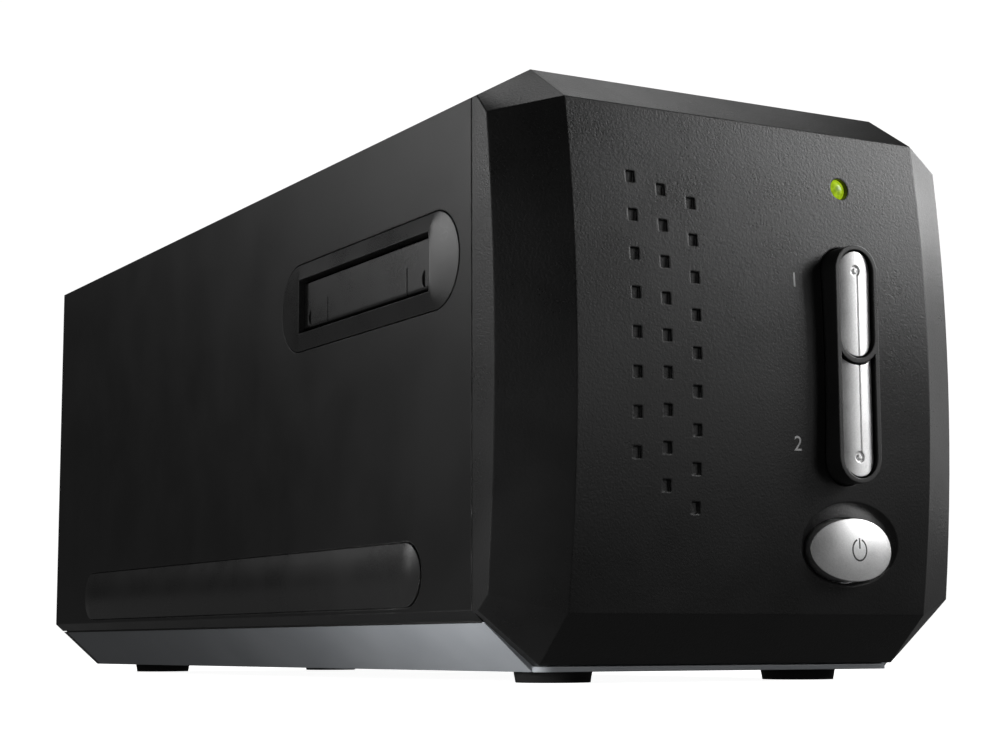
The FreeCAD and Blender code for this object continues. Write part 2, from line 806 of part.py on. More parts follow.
def make_base_tray():
    """Trough with sloping sides that stands up inside the cover, and a thin lip under the bezel."""
    body = new_body("base_trough")
    step_z = cover_edge_z - S.fit_gap
    path = [
        (outer.bottom_half, outer.bottom), (lower_slope_x(outer, step_z), step_z),
        (lower_slope_x(lining, step_z), step_z), (lining.half, lining.side_bottom), (lining.half, base_top),
        (trough.half, base_top), (trough.half, trough.side_bottom),
        (lower_slope_x(trough, base_floor), base_floor)]
    pad(body, "base_profile", "y", (seam, base_rear), both_sides(path))
    lip_x = outer.bottom_half
    lip_front = apex + S.bottom_edge_setback
    lip_z = (S.foot_height, S.foot_height + S.base_lip)
    lip_inner_y = lip_front + S.base_lip_corner
    lip = fuse(
        "base_lip",
        block("base_lip_rear", (-lip_x, lip_x), (lip_inner_y, seam + S.overrun), lip_z),
        block("base_lip_front", (-lip_x + S.base_lip_corner, lip_x - S.base_lip_corner),
              (lip_front, lip_inner_y), lip_z),
        *[cylinder(f"base_lip_corner_{side}", "z", S.base_lip_corner, lip_z,
                   (side * (lip_x - S.base_lip_corner), lip_inner_y)) for side in (-1, 1)])
    rooted = base_floor - S.base_wall / 2
    posts = [cylinder(f"frame_post_{n}", "z", S.frame_post_radius, (rooted, frame_bottom), spot)
             for n, spot in enumerate(frame_post_spots(), start=1)]
    posts += [cylinder(f"standoff_{n}", "z", S.standoff_radius, (rooted, board_z), spot)
              for n, spot in enumerate(standoff_spots(), start=1)]
    bosses = [block(f"rear_boss_{side}", about(side * rear_screw_x, S.rear_boss_radius),
                    (base_rear - S.rear_boss_depth, base_rear), (rooted, base_floor + S.rear_boss_height))
              for side in (-1, 1)]
    bore = S.screw_radius + S.sliding_gap
    post_bore = (frame_bottom - S.screw_length, frame_bottom + S.overrun)
    pilots = [cylinder(f"post_pilot_{n}", "z", bore, post_bore, spot)
              for n, spot in enumerate(frame_post_spots(), start=1)]
    pilots += [cylinder(f"standoff_pilot_{n}", "z", bore, (base_floor, board_z + S.overrun), spot)
               for n, spot in enumerate(standoff_spots(), start=1)]
    for side in (-1, 1):
        pilots.append(cylinder(f"rear_pilot_{side}", "y", bore,
                               (base_rear - S.screw_length, base_rear + S.overrun),
                               (side * rear_screw_x, rear_screw_low_z)))
        spot = (side * S.bezel_tab_x, bezel_tab_screw_y)
        pilots.append(cylinder(f"bezel_screw_hole_{side}", "z", bore,
                               (S.foot_height - S.overrun, base_floor + S.overrun), spot))
        pilots.append(screw_recess(f"bezel_screw_recess_{side}", "z", S.foot_height, spot, 1))
    return subpart("base_tray", cut("base_cut", fuse("base_whole", body, lip, *posts, *bosses), *pilots))


def frame_post_spots():
    ends = (frame_front + S.frame_post_end_inset, frame_rear - S.frame_post_end_inset)
    return [(side * frame_post_x, end) for side in (-1, 1) for end in ends]


def standoff_spots():
    ends = (board_front + S.standoff_inset, board_rear - S.standoff_inset)
    return [(side * standoff_x, end) for side in (-1, 1) for end in ends]


def bezel_sections(owner, name, wall):
    """Four upright outlines from left to right, whose ruled loft gives the flats, slopes and facets."""
    wall = as_size(wall)
    inside = wall.value > 0
    lean = wall * INNER_FACE_SHARE
    back = seam + S.overrun if inside else seam
    base = S.foot_height + S.base_lip + S.fit_gap + wall
    strip = [
        (back, outer.side_bottom + lean), (back, outer.side_top - lean),
        (apex + S.corner_setback + lean, outer.side_top - lean),
        (apex + S.strip_setback + lean, outer.side_top - S.strip_top_drop - lean),
        (apex + S.strip_setback + lean, outer.side_bottom + S.strip_bottom_rise + lean),
        (apex + S.corner_setback + lean, outer.side_bottom + lean)]
    face = [
        (back, base), (back, S.body_height - wall),
        (apex + S.top_edge_setback + wall * INNER_SIDE_SHARE, S.body_height - wall),
        (face_edge + wall, face_top - lean), (face_edge + wall, face_bottom + lean),
        (apex + S.bottom_edge_setback + lean, base)]
    strip_x = half_width - wall
    face_x = face_half_width - wall * INNER_SIDE_SHARE
    stations = [(-strip_x, strip, S.strip_bow), (-face_x, face, S.face_bow),
                (face_x, face, S.face_bow), (strip_x, strip, S.strip_bow)]
    return [outline(owner, f"{name}_section_{n}", "x", x, points, {3: -bow})
            for n, (x, points, bow) in enumerate(stations, start=1)]


def dimple_places():
    columns = zip((-1, 0, 1), COLUMN_COUNTS, COLUMN_TOP_SHARES, COLUMN_BOTTOM_SHARES)
    places = []
    for step, count, top_share, bottom_share in columns:
        x = (COLUMN_X_SHARE + step * COLUMN_PITCH_SHARE) * face_half_width
        for n in range(count):
            drop_share = (top_share - bottom_share) * n / (count - 1)
            places.append((x, face_bottom + (top_share - drop_share) * face_height))
    return places


def face_y(z):
    """Depth of the bowed face at height z, on the circle through its two ends and its apex."""
    half = face_height / 2
    radius = (half * half + S.face_bow * S.face_bow) / (2 * S.face_bow)
    rise = z - (face_top + face_bottom) / 2
    return apex + radius - root(radius * radius - rise * rise)


def make_front_bezel():
    """Hollow moulding with a bowed rectangular face, four slopes and four corner facets."""
    shell = new_body("bezel_outer")
    loft(shell, "bezel_outer_loft", bezel_sections(shell, "bezel_outer", 0))
    core = new_body("bezel_inner")
    loft(core, "bezel_inner_loft", bezel_sections(core, "bezel_inner", S.bezel_wall))
    hollow = cut("bezel_hollow", shell, core)
    power_centre = (power_x, power_z)
    collar_wall = S.button_gap + S.power_collar_wall
    posts = [ellipse_prism("power_collar", S.power_major + collar_wall, S.power_minor + collar_wall,
                           (apex, power_flange_front), power_centre)]
    posts += [cylinder(f"board_boss_root_{n}", "y", S.board_boss_radius, (apex, seam), spot)
              for n, spot in enumerate(board_boss_spots(), start=1)]
    trimmed = [common(f"bezel_post_{n}", shell, post) for n, post in enumerate(posts, start=1)]
    tail_y = (seam - S.overrun, button_board_front)
    tails = [cylinder(f"board_boss_tail_{n}", "y", S.board_boss_radius, tail_y, spot)
             for n, spot in enumerate(board_boss_spots(), start=1)]
    tab_z = (base_floor, base_floor + S.bezel_tab_height)
    base_z = S.foot_height + S.base_lip + S.fit_gap
    for side in (-1, 1):
        across = about(side * S.bezel_tab_x, S.bezel_tab_width / 2)
        tails.append(block(f"bezel_tab_{side}", across,
                           (seam - S.bezel_tab_root, seam + S.bezel_tab_reach), tab_z))
        tails.append(block(f"bezel_tab_root_{side}", across, (seam - S.bezel_tab_root, seam),
                           (base_z, base_floor + S.bezel_tab_height)))
    whole = fuse("bezel_whole", hollow, *trimmed, *tails)
    tools = [stadium("bezel_surround_hole", "y", (surround_x, surround_z), surround_length + 2 * S.fit_gap,
                     S.surround_radius + S.fit_gap, (surround_front, seam - S.overrun))]
    for n, (x, z) in enumerate(dimple_places(), start=1):
        front = face_y(z)
        tools.append(block(f"dimple_{n}", about(x, S.dimple_width / 2),
                           (front - S.overrun, front + S.dimple_depth), about(z, S.dimple_height / 2)))
    tools += power_openings()
    tools.append(cylinder("status_light_hole", "y", S.light_radius + S.sliding_gap,
                          (surround_front, seam - S.overrun), (light_x, light_z)))
    bore = S.screw_radius + S.sliding_gap
    for n, spot in enumerate(board_boss_spots(), start=1):
        tools.append(cylinder(f"board_boss_pilot_{n}", "y", bore,
                              (button_board_front - S.screw_length, button_board_front + S.overrun), spot))
    for side in (-1, 1):
        tools.append(cylinder(f"bezel_tab_pilot_{side}", "z", bore,
                              (base_floor - S.overrun, tab_z[1] + S.overrun),
                              (side * S.bezel_tab_x, bezel_tab_screw_y)))
    return subpart("front_bezel", cut("bezel_cut", whole, *tools))


def power_openings():
    """The dished recess and the oval hole for the power button."""
    centre = (power_x, power_z)
    front = face_y(power_z)
    hole = ellipse_prism("power_hole", S.power_major + S.button_gap, S.power_minor + S.button_gap,
                         (front - S.overrun, seam - S.overrun), centre)
    dish = doc.addObject("Part::Loft", "power_dish")
    dish.Sections = [
        ellipse("power_dish_mouth", S.power_major + S.power_dish_margin * 2,
                S.power_minor + S.power_dish_margin * 2, front - S.power_dish_depth, centre),
        ellipse("power_dish_floor", S.power_major + S.button_gap, S.power_minor + S.button_gap,
                front + S.power_dish_depth, centre)]
    dish.Solid = True
    return [hole, dish]


def make_rear_panel():
    """Plate that closes the rear, with sockets, vents, a lock slot and its screw holes."""
    body = new_body("rear_plate")
    step_z = cover_edge_z - S.fit_gap
    path = [(outer.bottom_half, outer.bottom), (lower_slope_x(outer, step_z), step_z),
            (lower_slope_x(lining, step_z), step_z), (lining.half, lining.side_bottom),
            (lining.half, lining.side_top), (lining.top_half, lining.top)]
    pad(body, "rear_plate_profile", "y", (panel_face, rear), both_sides(path))
    through = (panel_face - S.overrun, rear + S.overrun)
    tools = [
        block("usb_opening", about(usb_x, S.usb_width / 2 + S.fit_gap), through,
              (board_top - S.fit_gap, board_top + S.usb_height + S.fit_gap)),
        block("jack_opening", about(jack_x, S.jack_width / 2 + S.fit_gap), through,
              (board_top - S.fit_gap, board_top + S.jack_height + S.fit_gap)),
        block("lock_slot", about(lock_x, S.lock_width / 2), through, about(lock_z, S.lock_height / 2))]
    for n in range(VENT_COUNT):
        tools.append(block(f"vent_{n}", about(ZERO, S.vent_length / 2), through,
                           about(vent_low_z + n * S.vent_pitch, S.vent_height / 2)))
    for n, spot in enumerate(rear_screw_spots(), start=1):
        tools.append(cylinder(f"rear_screw_hole_{n}", "y", S.screw_radius + S.sliding_gap, through, spot))
        tools.append(screw_recess(f"rear_screw_recess_{n}", "y", rear, spot, -1))
    return subpart("rear_panel", cut("rear_cut", body, *tools))


def rear_screw_spots():
    low = [(side * rear_screw_x, rear_screw_low_z) for side in (-1, 1)]
    high = [(side * S.cover_tab_x, cover_tab_screw_z) for side in (-1, 1)]
    return low + high


def make_rubber_feet():
    spots = [(outer.bottom_half - S.front_foot_inset, apex + S.front_foot_setback),
             (outer.bottom_half - S.rear_foot_inset, rear - S.rear_foot_setback)]
    feet = []
    for n, (x, y) in enumerate(spots):
        for side in (-1, 1):
            foot = doc.addObject("Part::Cone", f"foot_{n}_{side}")
            bind(foot, Radius1=S.foot_radius - S.foot_taper, Radius2=S.foot_radius, Height=S.foot_height)
            place(foot, (side * x, y, ZERO))
            feet.append(foot)
    return subpart("rubber_feet", group("feet_group", *feet))


# Film gates, doors and side pads, made on the left and mirrored to the right

def make_film_gates():
    """Ring with a raised lip: round-ended at the cover and square-cornered at its window."""
    shoulder_x = -half_width - S.gate_shoulder
    crown = new_body("gate_crown")
    reach = S.gate_length / 2 - S.gate_radius
    sides = (gate_y - reach, gate_y + reach)
    levels = about(gate_z, S.gate_radius)
    round_end = outline(crown, "gate_round_outline", "x", shoulder_x,
                        [(sides[0], levels[0]), (sides[1], levels[0]), (sides[1], levels[1]),
                         (sides[0], levels[1])], {1: S.gate_radius, 3: -S.gate_radius})
    square_end = outline(crown, "gate_square_outline", "x", -half_width - S.gate_rise,
                         rectangle(window_y, window_z))
    loft(crown, "gate_crown_loft", [round_end, square_end])
    inner_x = -cover_inner_x
    plug = stadium("gate_plug", "x", gate_centre, S.gate_length, S.gate_radius, (shoulder_x, inner_x))
    flange = stadium("gate_flange_plate", "x", gate_centre, S.gate_length + 2 * S.gate_flange,
                     S.gate_radius + S.gate_flange, (inner_x + S.sliding_gap, inner_x + S.gate_flange_wall))
    neck = stadium("gate_neck", "x", gate_centre, S.gate_length, S.gate_radius,
                   (inner_x - S.overrun / 2, inner_x + S.gate_flange_wall))
    tunnel = block("gate_tunnel", (inner_x, -half_width + S.gate_tunnel_depth),
                   (window_y[0] - S.gate_tunnel_wall, window_y[1] + S.gate_tunnel_wall),
                   (window_z[0] - S.gate_tunnel_wall, window_z[1] + S.gate_tunnel_wall))
    window = block("gate_window", (-half_width - S.gate_rise - S.overrun, -half_width + S.gate_tunnel_depth
                                   + S.overrun), window_y, window_z)
    bores = [cylinder(f"door_bore_{side}", "y", S.door_pin_radius + S.sliding_gap, span,
                      (door_axis_x, door_axis_z)) for side, span in zip((-1, 1), door_pin_spans(S.fit_gap))]
    whole = fuse("gate_whole", crown, plug, flange, neck, tunnel)
    left = subpart("film_gate_left", cut("gate_cut_left", whole, window, *bores))
    subpart("film_gate_right", mirrored("gate_cut_right", left))


def door_pin_spans(extra):
    """The stretches beyond each end of the window that the door's pins take, and extra past them."""
    reach = S.door_pin_length + extra
    overlap = S.fit_gap
    return [(window_y[0] - reach, window_y[0] + overlap), (window_y[1] - overlap, window_y[1] + reach)]


def make_dust_doors():
    """Flap that turns on two pins along its lower edge, slit beside each hinge tab."""
    door_y = (window_y[0] + S.fit_gap, window_y[1] - S.fit_gap)
    leaf = block("door_leaf", (door_face_x, door_face_x + S.door_wall), door_y,
                 (door_axis_z, door_axis_z + S.door_height))
    knuckle = cylinder("door_knuckle", "y", S.door_wall / 2, door_y, (door_axis_x, door_axis_z))
    pins = [cylinder(f"door_pin_{side}", "y", S.door_pin_radius, span, (door_axis_x, door_axis_z))
            for side, span in zip((-1, 1), door_pin_spans(ZERO))]
    through = (door_face_x - S.overrun, door_face_x + S.door_wall + S.overrun)
    tools = []
    for side in (-1, 1):
        slit_y = gate_y + side * S.door_slit_offset
        tools.append(block(f"door_slit_{side}", through, about(slit_y, S.door_slit_width / 2),
                           (door_axis_z - S.door_wall, door_axis_z + S.door_slit_height)))
        notch_y = gate_y + side * S.door_notch_offset
        notch_z = door_axis_z + S.door_notch_rise
        round_notch = cylinder(f"door_notch_round_{side}", "x", S.door_notch_radius,
                               (through[0], door_face_x + S.door_notch_depth), (notch_y, notch_z))
        straight = block(f"door_notch_half_{side}", through,
                         (notch_y + S.door_notch_radius * DOOR_NOTCH_SHARE, notch_y + 2 * S.door_notch_radius),
                         about(notch_z, 2 * S.door_notch_radius))
        tools.append(common(f"door_notch_{side}", round_notch, straight))
    left = subpart("dust_door_left", cut("door_cut_left", fuse("door_whole", leaf, knuckle, *pins), *tools))
    subpart("dust_door_right", mirrored("door_cut_right", left))


def make_side_pads():
    """Pillow-faced pad with round ends, in a shallow seat, with three pegs through the cover."""
    centre = (pad_y, pad_z)
    seat_x = -half_width + S.pad_recess
    front_x = -half_width - S.pad_rise
    prism = stadium("pad_prism", "x", centre, pad_length, S.pad_radius, (front_x - S.overrun, seat_x))
    sag = S.pad_rise - S.pad_edge_rise
    bulge_radius = (S.pad_radius * S.pad_radius + sag * sag) / (2 * sag)
    axis_x = front_x + bulge_radius
    reach = pad_length / 2 - S.pad_radius
    ends = (pad_y - reach, pad_y + reach)
    capsule = fuse("pad_capsule",
                   cylinder("pad_bulge", "y", bulge_radius, ends, (axis_x, pad_z)),
                   *[sphere(f"pad_bulge_end_{n}", bulge_radius, (axis_x, end, pad_z))
                     for n, end in enumerate(ends)])
    pegs = [cylinder(f"pad_peg_{n}", "x", S.pad_peg_radius, (seat_x - S.pad_edge_rise, -cover_inner_x),
                     (pad_y + n * pad_peg_spacing, pad_z)) for n in (-1, 0, 1)]
    left = subpart("side_pad_left", fuse("pad_whole", common("pad_pillow", prism, capsule), *pegs))
    subpart("side_pad_right", mirrored("pad_right", left))


# Buttons, status light and the board behind them

def board_boss_spots():
    reach = S.button_board_width / 2 - S.board_boss_inset
    heights = (power_z + S.board_boss_low, light_z + S.board_boss_high)
    return [(x, z) for x in about(surround_x, reach) for z in heights]


def rounded_bar(name, radius, low_centre, high_centre, span):
    """A stadium plate that faces Y, given by the heights of its two end centres."""
    middle = (low_centre + high_centre) / 2
    length = high_centre - low_centre + 2 * radius
    return stadium(name, "y", (surround_x, middle), length, radius, span)


def divider_disc(name, margin, span):
    """The disc round the upper pocket's lower end that leaves the curved divider standing."""
    return cylinder(name, "y", pocket_radius + S.divider_wall + margin, span, (surround_x, divider_z))


def make_button_surround():
    """Raised round-ended rim with two pockets and a curved divider, on a flange behind the face."""
    centre = (surround_x, surround_z)
    rim = stadium("surround_rim_plate", "y", centre, surround_length, S.surround_radius,
                  (surround_front, surround_rear))
    flange = stadium("surround_flange_plate", "y", centre, surround_length + 2 * S.surround_flange,
                     S.surround_radius + S.surround_flange, (surround_flange_front, surround_rear))
    through = (surround_front - S.overrun, surround_rear + S.overrun)
    upper = rounded_bar("surround_upper_pocket", pocket_radius, divider_z, upper_end_z, through)
    lower = cut("surround_lower_pocket",
                rounded_bar("surround_lower_bar", pocket_radius, lower_end_z, divider_z, through),
                divider_disc("surround_divider_disc", ZERO, through))
    whole = fuse("surround_whole", rim, flange)
    return subpart("scan_button_surround", cut("surround_cut", whole, upper, lower))


def crowned(name, prism, radius, tip, crown):
    """A button prism with its front rounded across, to a tip that stands crown ahead of its edges."""
    bend = (radius * radius + crown * crown) / (2 * crown)
    low = surround_z - surround_length
    high = surround_z + surround_length
    return common(name, prism, cylinder(f"{name}_bend", "z", bend, (low, high), (surround_x, tip + bend)))


def make_scan_buttons():
    """Two long keys with a crowned face, a fine groove and a ringed dot, each with a flange and a stem."""
    key_radius = pocket_radius - S.button_gap
    flange_y = (surround_rear + S.sliding_gap, surround_rear + S.sliding_gap + S.button_flange_wall)
    shank_y = (button_tip - S.overrun, flange_y[1])
    keys = {"scan_button_upper": (divider_z, upper_end_z), "scan_button_lower": (lower_end_z, divider_z)}
    for name, (low, high) in keys.items():
        is_lower = name.endswith("lower")
        shank = rounded_bar(f"{name}_shank", key_radius, low, high, shank_y)
        flange = rounded_bar(f"{name}_flange", pocket_radius + S.button_flange / 2, low, high, flange_y)
        if is_lower:
            shank = cut(f"{name}_shank_cut", shank, divider_disc(f"{name}_disc", S.button_gap, shank_y))
            flange_disc = divider_disc(f"{name}_flange_disc", S.button_gap, flange_y)
            flange = cut(f"{name}_flange_cut", flange, flange_disc)
        else:
            limit = block(f"{name}_flange_limit", about(surround_x, surround_length), flange_y,
                          (divider_z - key_radius, high + surround_length))
            flange = common(f"{name}_flange_cut", flange, limit)
        crown = crowned(f"{name}_crown", shank, key_radius, button_tip, S.button_crown)
        stem_z = scan_switch_z(is_lower)
        stem = cylinder(f"{name}_stem", "y", S.plunger_radius, (flange_y[0], plunger_tip),
                        (surround_x, stem_z))
        end_z = low if is_lower else high
        groove_y = (button_tip - S.overrun, button_tip + S.button_groove_depth)
        inner_z = (end_z, high) if is_lower else (low - key_radius, end_z)
        groove = block(f"{name}_groove", about(surround_x + S.button_groove_shift, S.button_groove_width / 2),
                       groove_y, inner_z)
        ring_y = (button_tip - S.overrun, button_tip + S.button_ring_depth)
        ring = cut(f"{name}_ring",
                   cylinder(f"{name}_ring_outer", "y", S.button_ring_radius, ring_y, (surround_x, end_z)),
                   cylinder(f"{name}_ring_dot", "y", S.button_dot_radius, ring_y, (surround_x, end_z)))
        whole = fuse(f"{name}_whole", crown, flange, stem)
        subpart(name, cut(f"{name}_cut", whole, groove, ring))


def scan_switch_z(is_lower):
    """Height of the switch behind a scan key: the middle of that key."""
    end = lower_end_z if is_lower else upper_end_z
    return (end + divider_z) / 2


def make_power_button():
    """Oval domed key with a flange behind the bezel's collar and a stem to its switch."""
    centre = (power_x, power_z)
    tip = face_y(power_z) - S.power_rise
    flange_y = (power_flange_front + S.sliding_gap,
                power_flange_front + S.sliding_gap + S.button_flange_wall)
    key = ellipse_prism("power_key", S.power_major, S.power_minor, (tip - S.overrun, flange_y[1]), centre)
    bend = (S.power_major * S.power_major + S.power_dome * S.power_dome) / (2 * S.power_dome)
    dome = common("power_dome", key, sphere("power_dome_ball", bend, (power_x, tip + bend, power_z)))
    margin = S.button_gap + S.button_flange
    flange = ellipse_prism("power_flange", S.power_major + margin, S.power_minor + margin, flange_y, centre)
    stem = cylinder("power_stem", "y", S.plunger_radius, (flange_y[0], plunger_tip), centre)
    return subpart("power_button", fuse("power_whole", dome, flange, stem))


def switch_spots():
    return {"upper": (surround_x, scan_switch_z(False)), "lower": (surround_x, scan_switch_z(True)),
            "power": (power_x, power_z)}


def make_switches():
    """Three tactile switches and the plungers that the keys push into them."""
    front = button_board_front
    body_y = (front - S.switch_depth, front)
    housings = []
    for name, (x, z) in switch_spots().items():
        case = block(f"switch_case_{name}", about(x, S.switch_width / 2), body_y,
                     about(z, S.switch_width / 2))
        root_y = body_y[0] + S.plunger_root
        bore_end = root_y + S.button_travel + S.sliding_gap
        bore = cylinder(f"switch_bore_{name}", "y", S.plunger_radius + S.sliding_gap,
                        (body_y[0] - S.overrun, bore_end), (x, z))
        housings.append(cut(f"switch_housing_{name}", case, bore))
        plunger = cylinder(f"plunger_{name}", "y", S.plunger_radius, (plunger_tip, root_y), (x, z))
        subpart(f"switch_plunger_{name}", plunger)
    return subpart("tact_switches", group("switch_group", *housings))


def make_button_board():
    front = button_board_front
    span = (front, front + S.button_board_wall)
    plate = block("button_board_plate", about(surround_x, S.button_board_width / 2), span,
                  (button_board_bottom, button_board_top))
    holes = [cylinder(f"button_board_hole_{n}", "y", S.screw_radius + S.sliding_gap,
                      (span[0] - S.overrun, span[1] + S.overrun), spot)
             for n, spot in enumerate(board_boss_spots(), start=1)]
    subpart("button_board", cut("button_board_cut", plate, *holes))
    screws = [screw(f"button_board_screw_{n}", "y", span[1] + S.screw_head_height, spot,
                    S.screw_length - S.screw_radius, -1)
              for n, spot in enumerate(board_boss_spots(), start=1)]
    subpart("button_board_screws", group("button_board_screw_group", *screws))


def make_status_light():
    """Clear pipe with a domed end in the face, and the diode behind it on the board."""
    front = button_board_front
    centre = (light_x, light_z)
    tip = face_y(light_z) + S.light_sink
    chip = block("led_chip", about(light_x, S.led_chip_width / 2), (front - S.led_chip_depth, front),
                 about(light_z, S.led_chip_width / 2))
    subpart("status_diode", chip)
    rod = cylinder("light_pipe_rod", "y", S.light_radius, (tip, front - S.led_chip_depth), centre)
    length = front - tip
    ball = sphere("light_pipe_ball", S.light_dome_radius, (light_x, tip + S.light_dome_radius, light_z))
    tail = cylinder("light_pipe_tail", "y", S.light_radius,
                    (tip + S.light_dome_radius, tip + length - S.led_chip_depth), centre)
    return subpart("status_light", fuse("light_pipe", common("light_pipe_dome", rod, ball), tail))


# Optical frame, film guides and lamp

def make_optical_frame():
    """Trough with a high front that carries the film guides, and end walls that hold the rods."""
    high_end = guide_y[1] + S.frame_high_margin
    body = new_body("frame_trough")
    side_path = [(frame_front, frame_bottom), (frame_rear, frame_bottom), (frame_rear, frame_rear_top),
                 (high_end + S.frame_slope, frame_rear_top), (high_end, guide_bottom),
                 (frame_front, guide_bottom)]
    pad(body, "frame_profile", "x", about(ZERO, frame_half_width), side_path)
    pocket(body, "frame_hollow", "z", (frame_floor, guide_bottom + S.overrun),
           rectangle(about(ZERO, frame_inner_x), (frame_front + S.frame_wall, frame_rear - S.frame_wall)))
    tools = [cylinder(f"frame_rod_hole_{side}", "y", rod_radius, rod_span(), (side * rod_x, rod_z))
             for side in (-1, 1)]
    tools.append(cylinder("frame_bearing_hole", "y", S.bearing_radius,
                          (frame_front - S.overrun, frame_front + S.frame_wall + S.overrun), (ZERO, rod_z)))
    tools.append(cylinder("frame_hub_hole", "y", S.motor_hub_radius + S.sliding_gap,
                          (frame_rear - S.frame_wall - S.overrun, frame_rear + S.overrun), (ZERO, rod_z)))
    for n, spot in enumerate(frame_post_spots(), start=1):
        tools.append(cylinder(f"frame_screw_hole_{n}", "z", S.screw_radius + S.sliding_gap,
                              (frame_bottom - S.overrun, frame_floor + S.overrun), spot))
    return subpart("optical_frame", cut("frame_cut", body, *tools))


def rod_span():
    return (frame_front + S.frame_wall - S.rod_seat, frame_rear - S.frame_wall + S.rod_seat)


def make_film_guides():
    """Lower channel on a plate across the frame, with rails and a lid, both open over the film frame."""
    aperture = (about(ZERO, S.aperture_width / 2), about(gate_y, S.aperture_length / 2))
    plate = block("guide_lower_plate", about(ZERO, frame_half_width), guide_y,
                  (guide_bottom, guide_floor - S.guide_step))
    lower = block("guide_lower_block", guide_x, guide_y, (guide_bottom, guide_ceiling))
    channel = block("guide_channel_space", (guide_x[0] - S.overrun, guide_x[1] + S.overrun),
                    (guide_y[0] + S.guide_rail, guide_y[1] - S.guide_rail),
                    (guide_floor, guide_ceiling + S.overrun))
    window = block("guide_lower_window", *aperture, (guide_bottom - S.overrun, guide_floor + S.overrun))
    whole = fuse("guide_lower_whole", plate, lower)
    subpart("film_guide_lower", cut("guide_lower_cut", whole, channel, window))
    upper = block("guide_upper_block", guide_x, guide_y, (guide_ceiling, guide_top))
    upper_window = block("guide_upper_window", *aperture,
                         (guide_ceiling - S.overrun, guide_top + S.overrun))
    subpart("film_guide_upper", cut("guide_upper_cut", upper, upper_window))


def make_indexing_spring():
    """Bowed leaf that lies along the rear rail and clicks the holder into place."""
    body = new_body("spring_leaf")
    wall_y = guide_y[1] - S.guide_rail
    low = guide_floor + (S.guide_channel - S.spring_height) / 2
    half = S.spring_length / 2
    crest = wall_y - S.spring_bow
    path = [(-half, wall_y), (-half, wall_y - S.spring_wall), (-half / 2, crest - S.spring_wall),
            (half / 2, crest - S.spring_wall), (half, wall_y - S.spring_wall), (half, wall_y),
            (half / 2, crest), (-half / 2, crest)]
    pad(body, "spring_profile", "z", (low, low + S.spring_height), path)
    return subpart("indexing_spring", body)


def make_lamp():
    """Housing over the film with its board, diodes and diffuser."""
    top = cover_inner.top - S.lamp_top_gap
    inner_x = about(ZERO, S.lamp_half_width - S.lamp_wall)
    inner_y = about(gate_y, S.lamp_half_length - S.lamp_wall)
    shell = block("lamp_block", about(ZERO, S.lamp_half_width), about(gate_y, S.lamp_half_length),
                  (guide_top, top))
    hollow = block("lamp_hollow", inner_x, inner_y, (guide_top - S.overrun, top - S.lamp_wall))
    subpart("lamp_housing", cut("lamp_cut", shell, hollow))
    board_x = (inner_x[0] + S.fit_gap, inner_x[1] - S.fit_gap)
    board_y = (inner_y[0] + S.fit_gap, inner_y[1] - S.fit_gap)
    lamp_board_z = (top - S.lamp_wall - S.lamp_board_wall, top - S.lamp_wall)
    subpart("lamp_board", block("lamp_board_plate", board_x, board_y, lamp_board_z))
    diodes = []
    for column in range(LED_COLUMNS):
        for line in range(LED_ROWS):
            x = (column - (LED_COLUMNS - 1) / 2) * S.lamp_led_pitch
            y = gate_y + (line - (LED_ROWS - 1) / 2) * S.lamp_led_pitch
            diodes.append(block(f"lamp_diode_{column}_{line}", about(x, S.lamp_led_size / 2),
                                about(y, S.lamp_led_size / 2),
                                (lamp_board_z[0] - S.lamp_led_size / 2, lamp_board_z[0])))
    subpart("lamp_diodes", group("lamp_diode_group", *diodes))
    subpart("light_diffuser", block("diffuser_plate", board_x, board_y,
                                    (guide_top, guide_top + S.diffuser_wall)))


# Carriage, optics and drive

def make_guide_rods():
    rods = [cylinder(f"guide_rod_{side}", "y", rod_radius, rod_span(), (side * rod_x, rod_z))
            for side in (-1, 1)]
    return subpart("guide_rods", group("guide_rod_group", *rods))


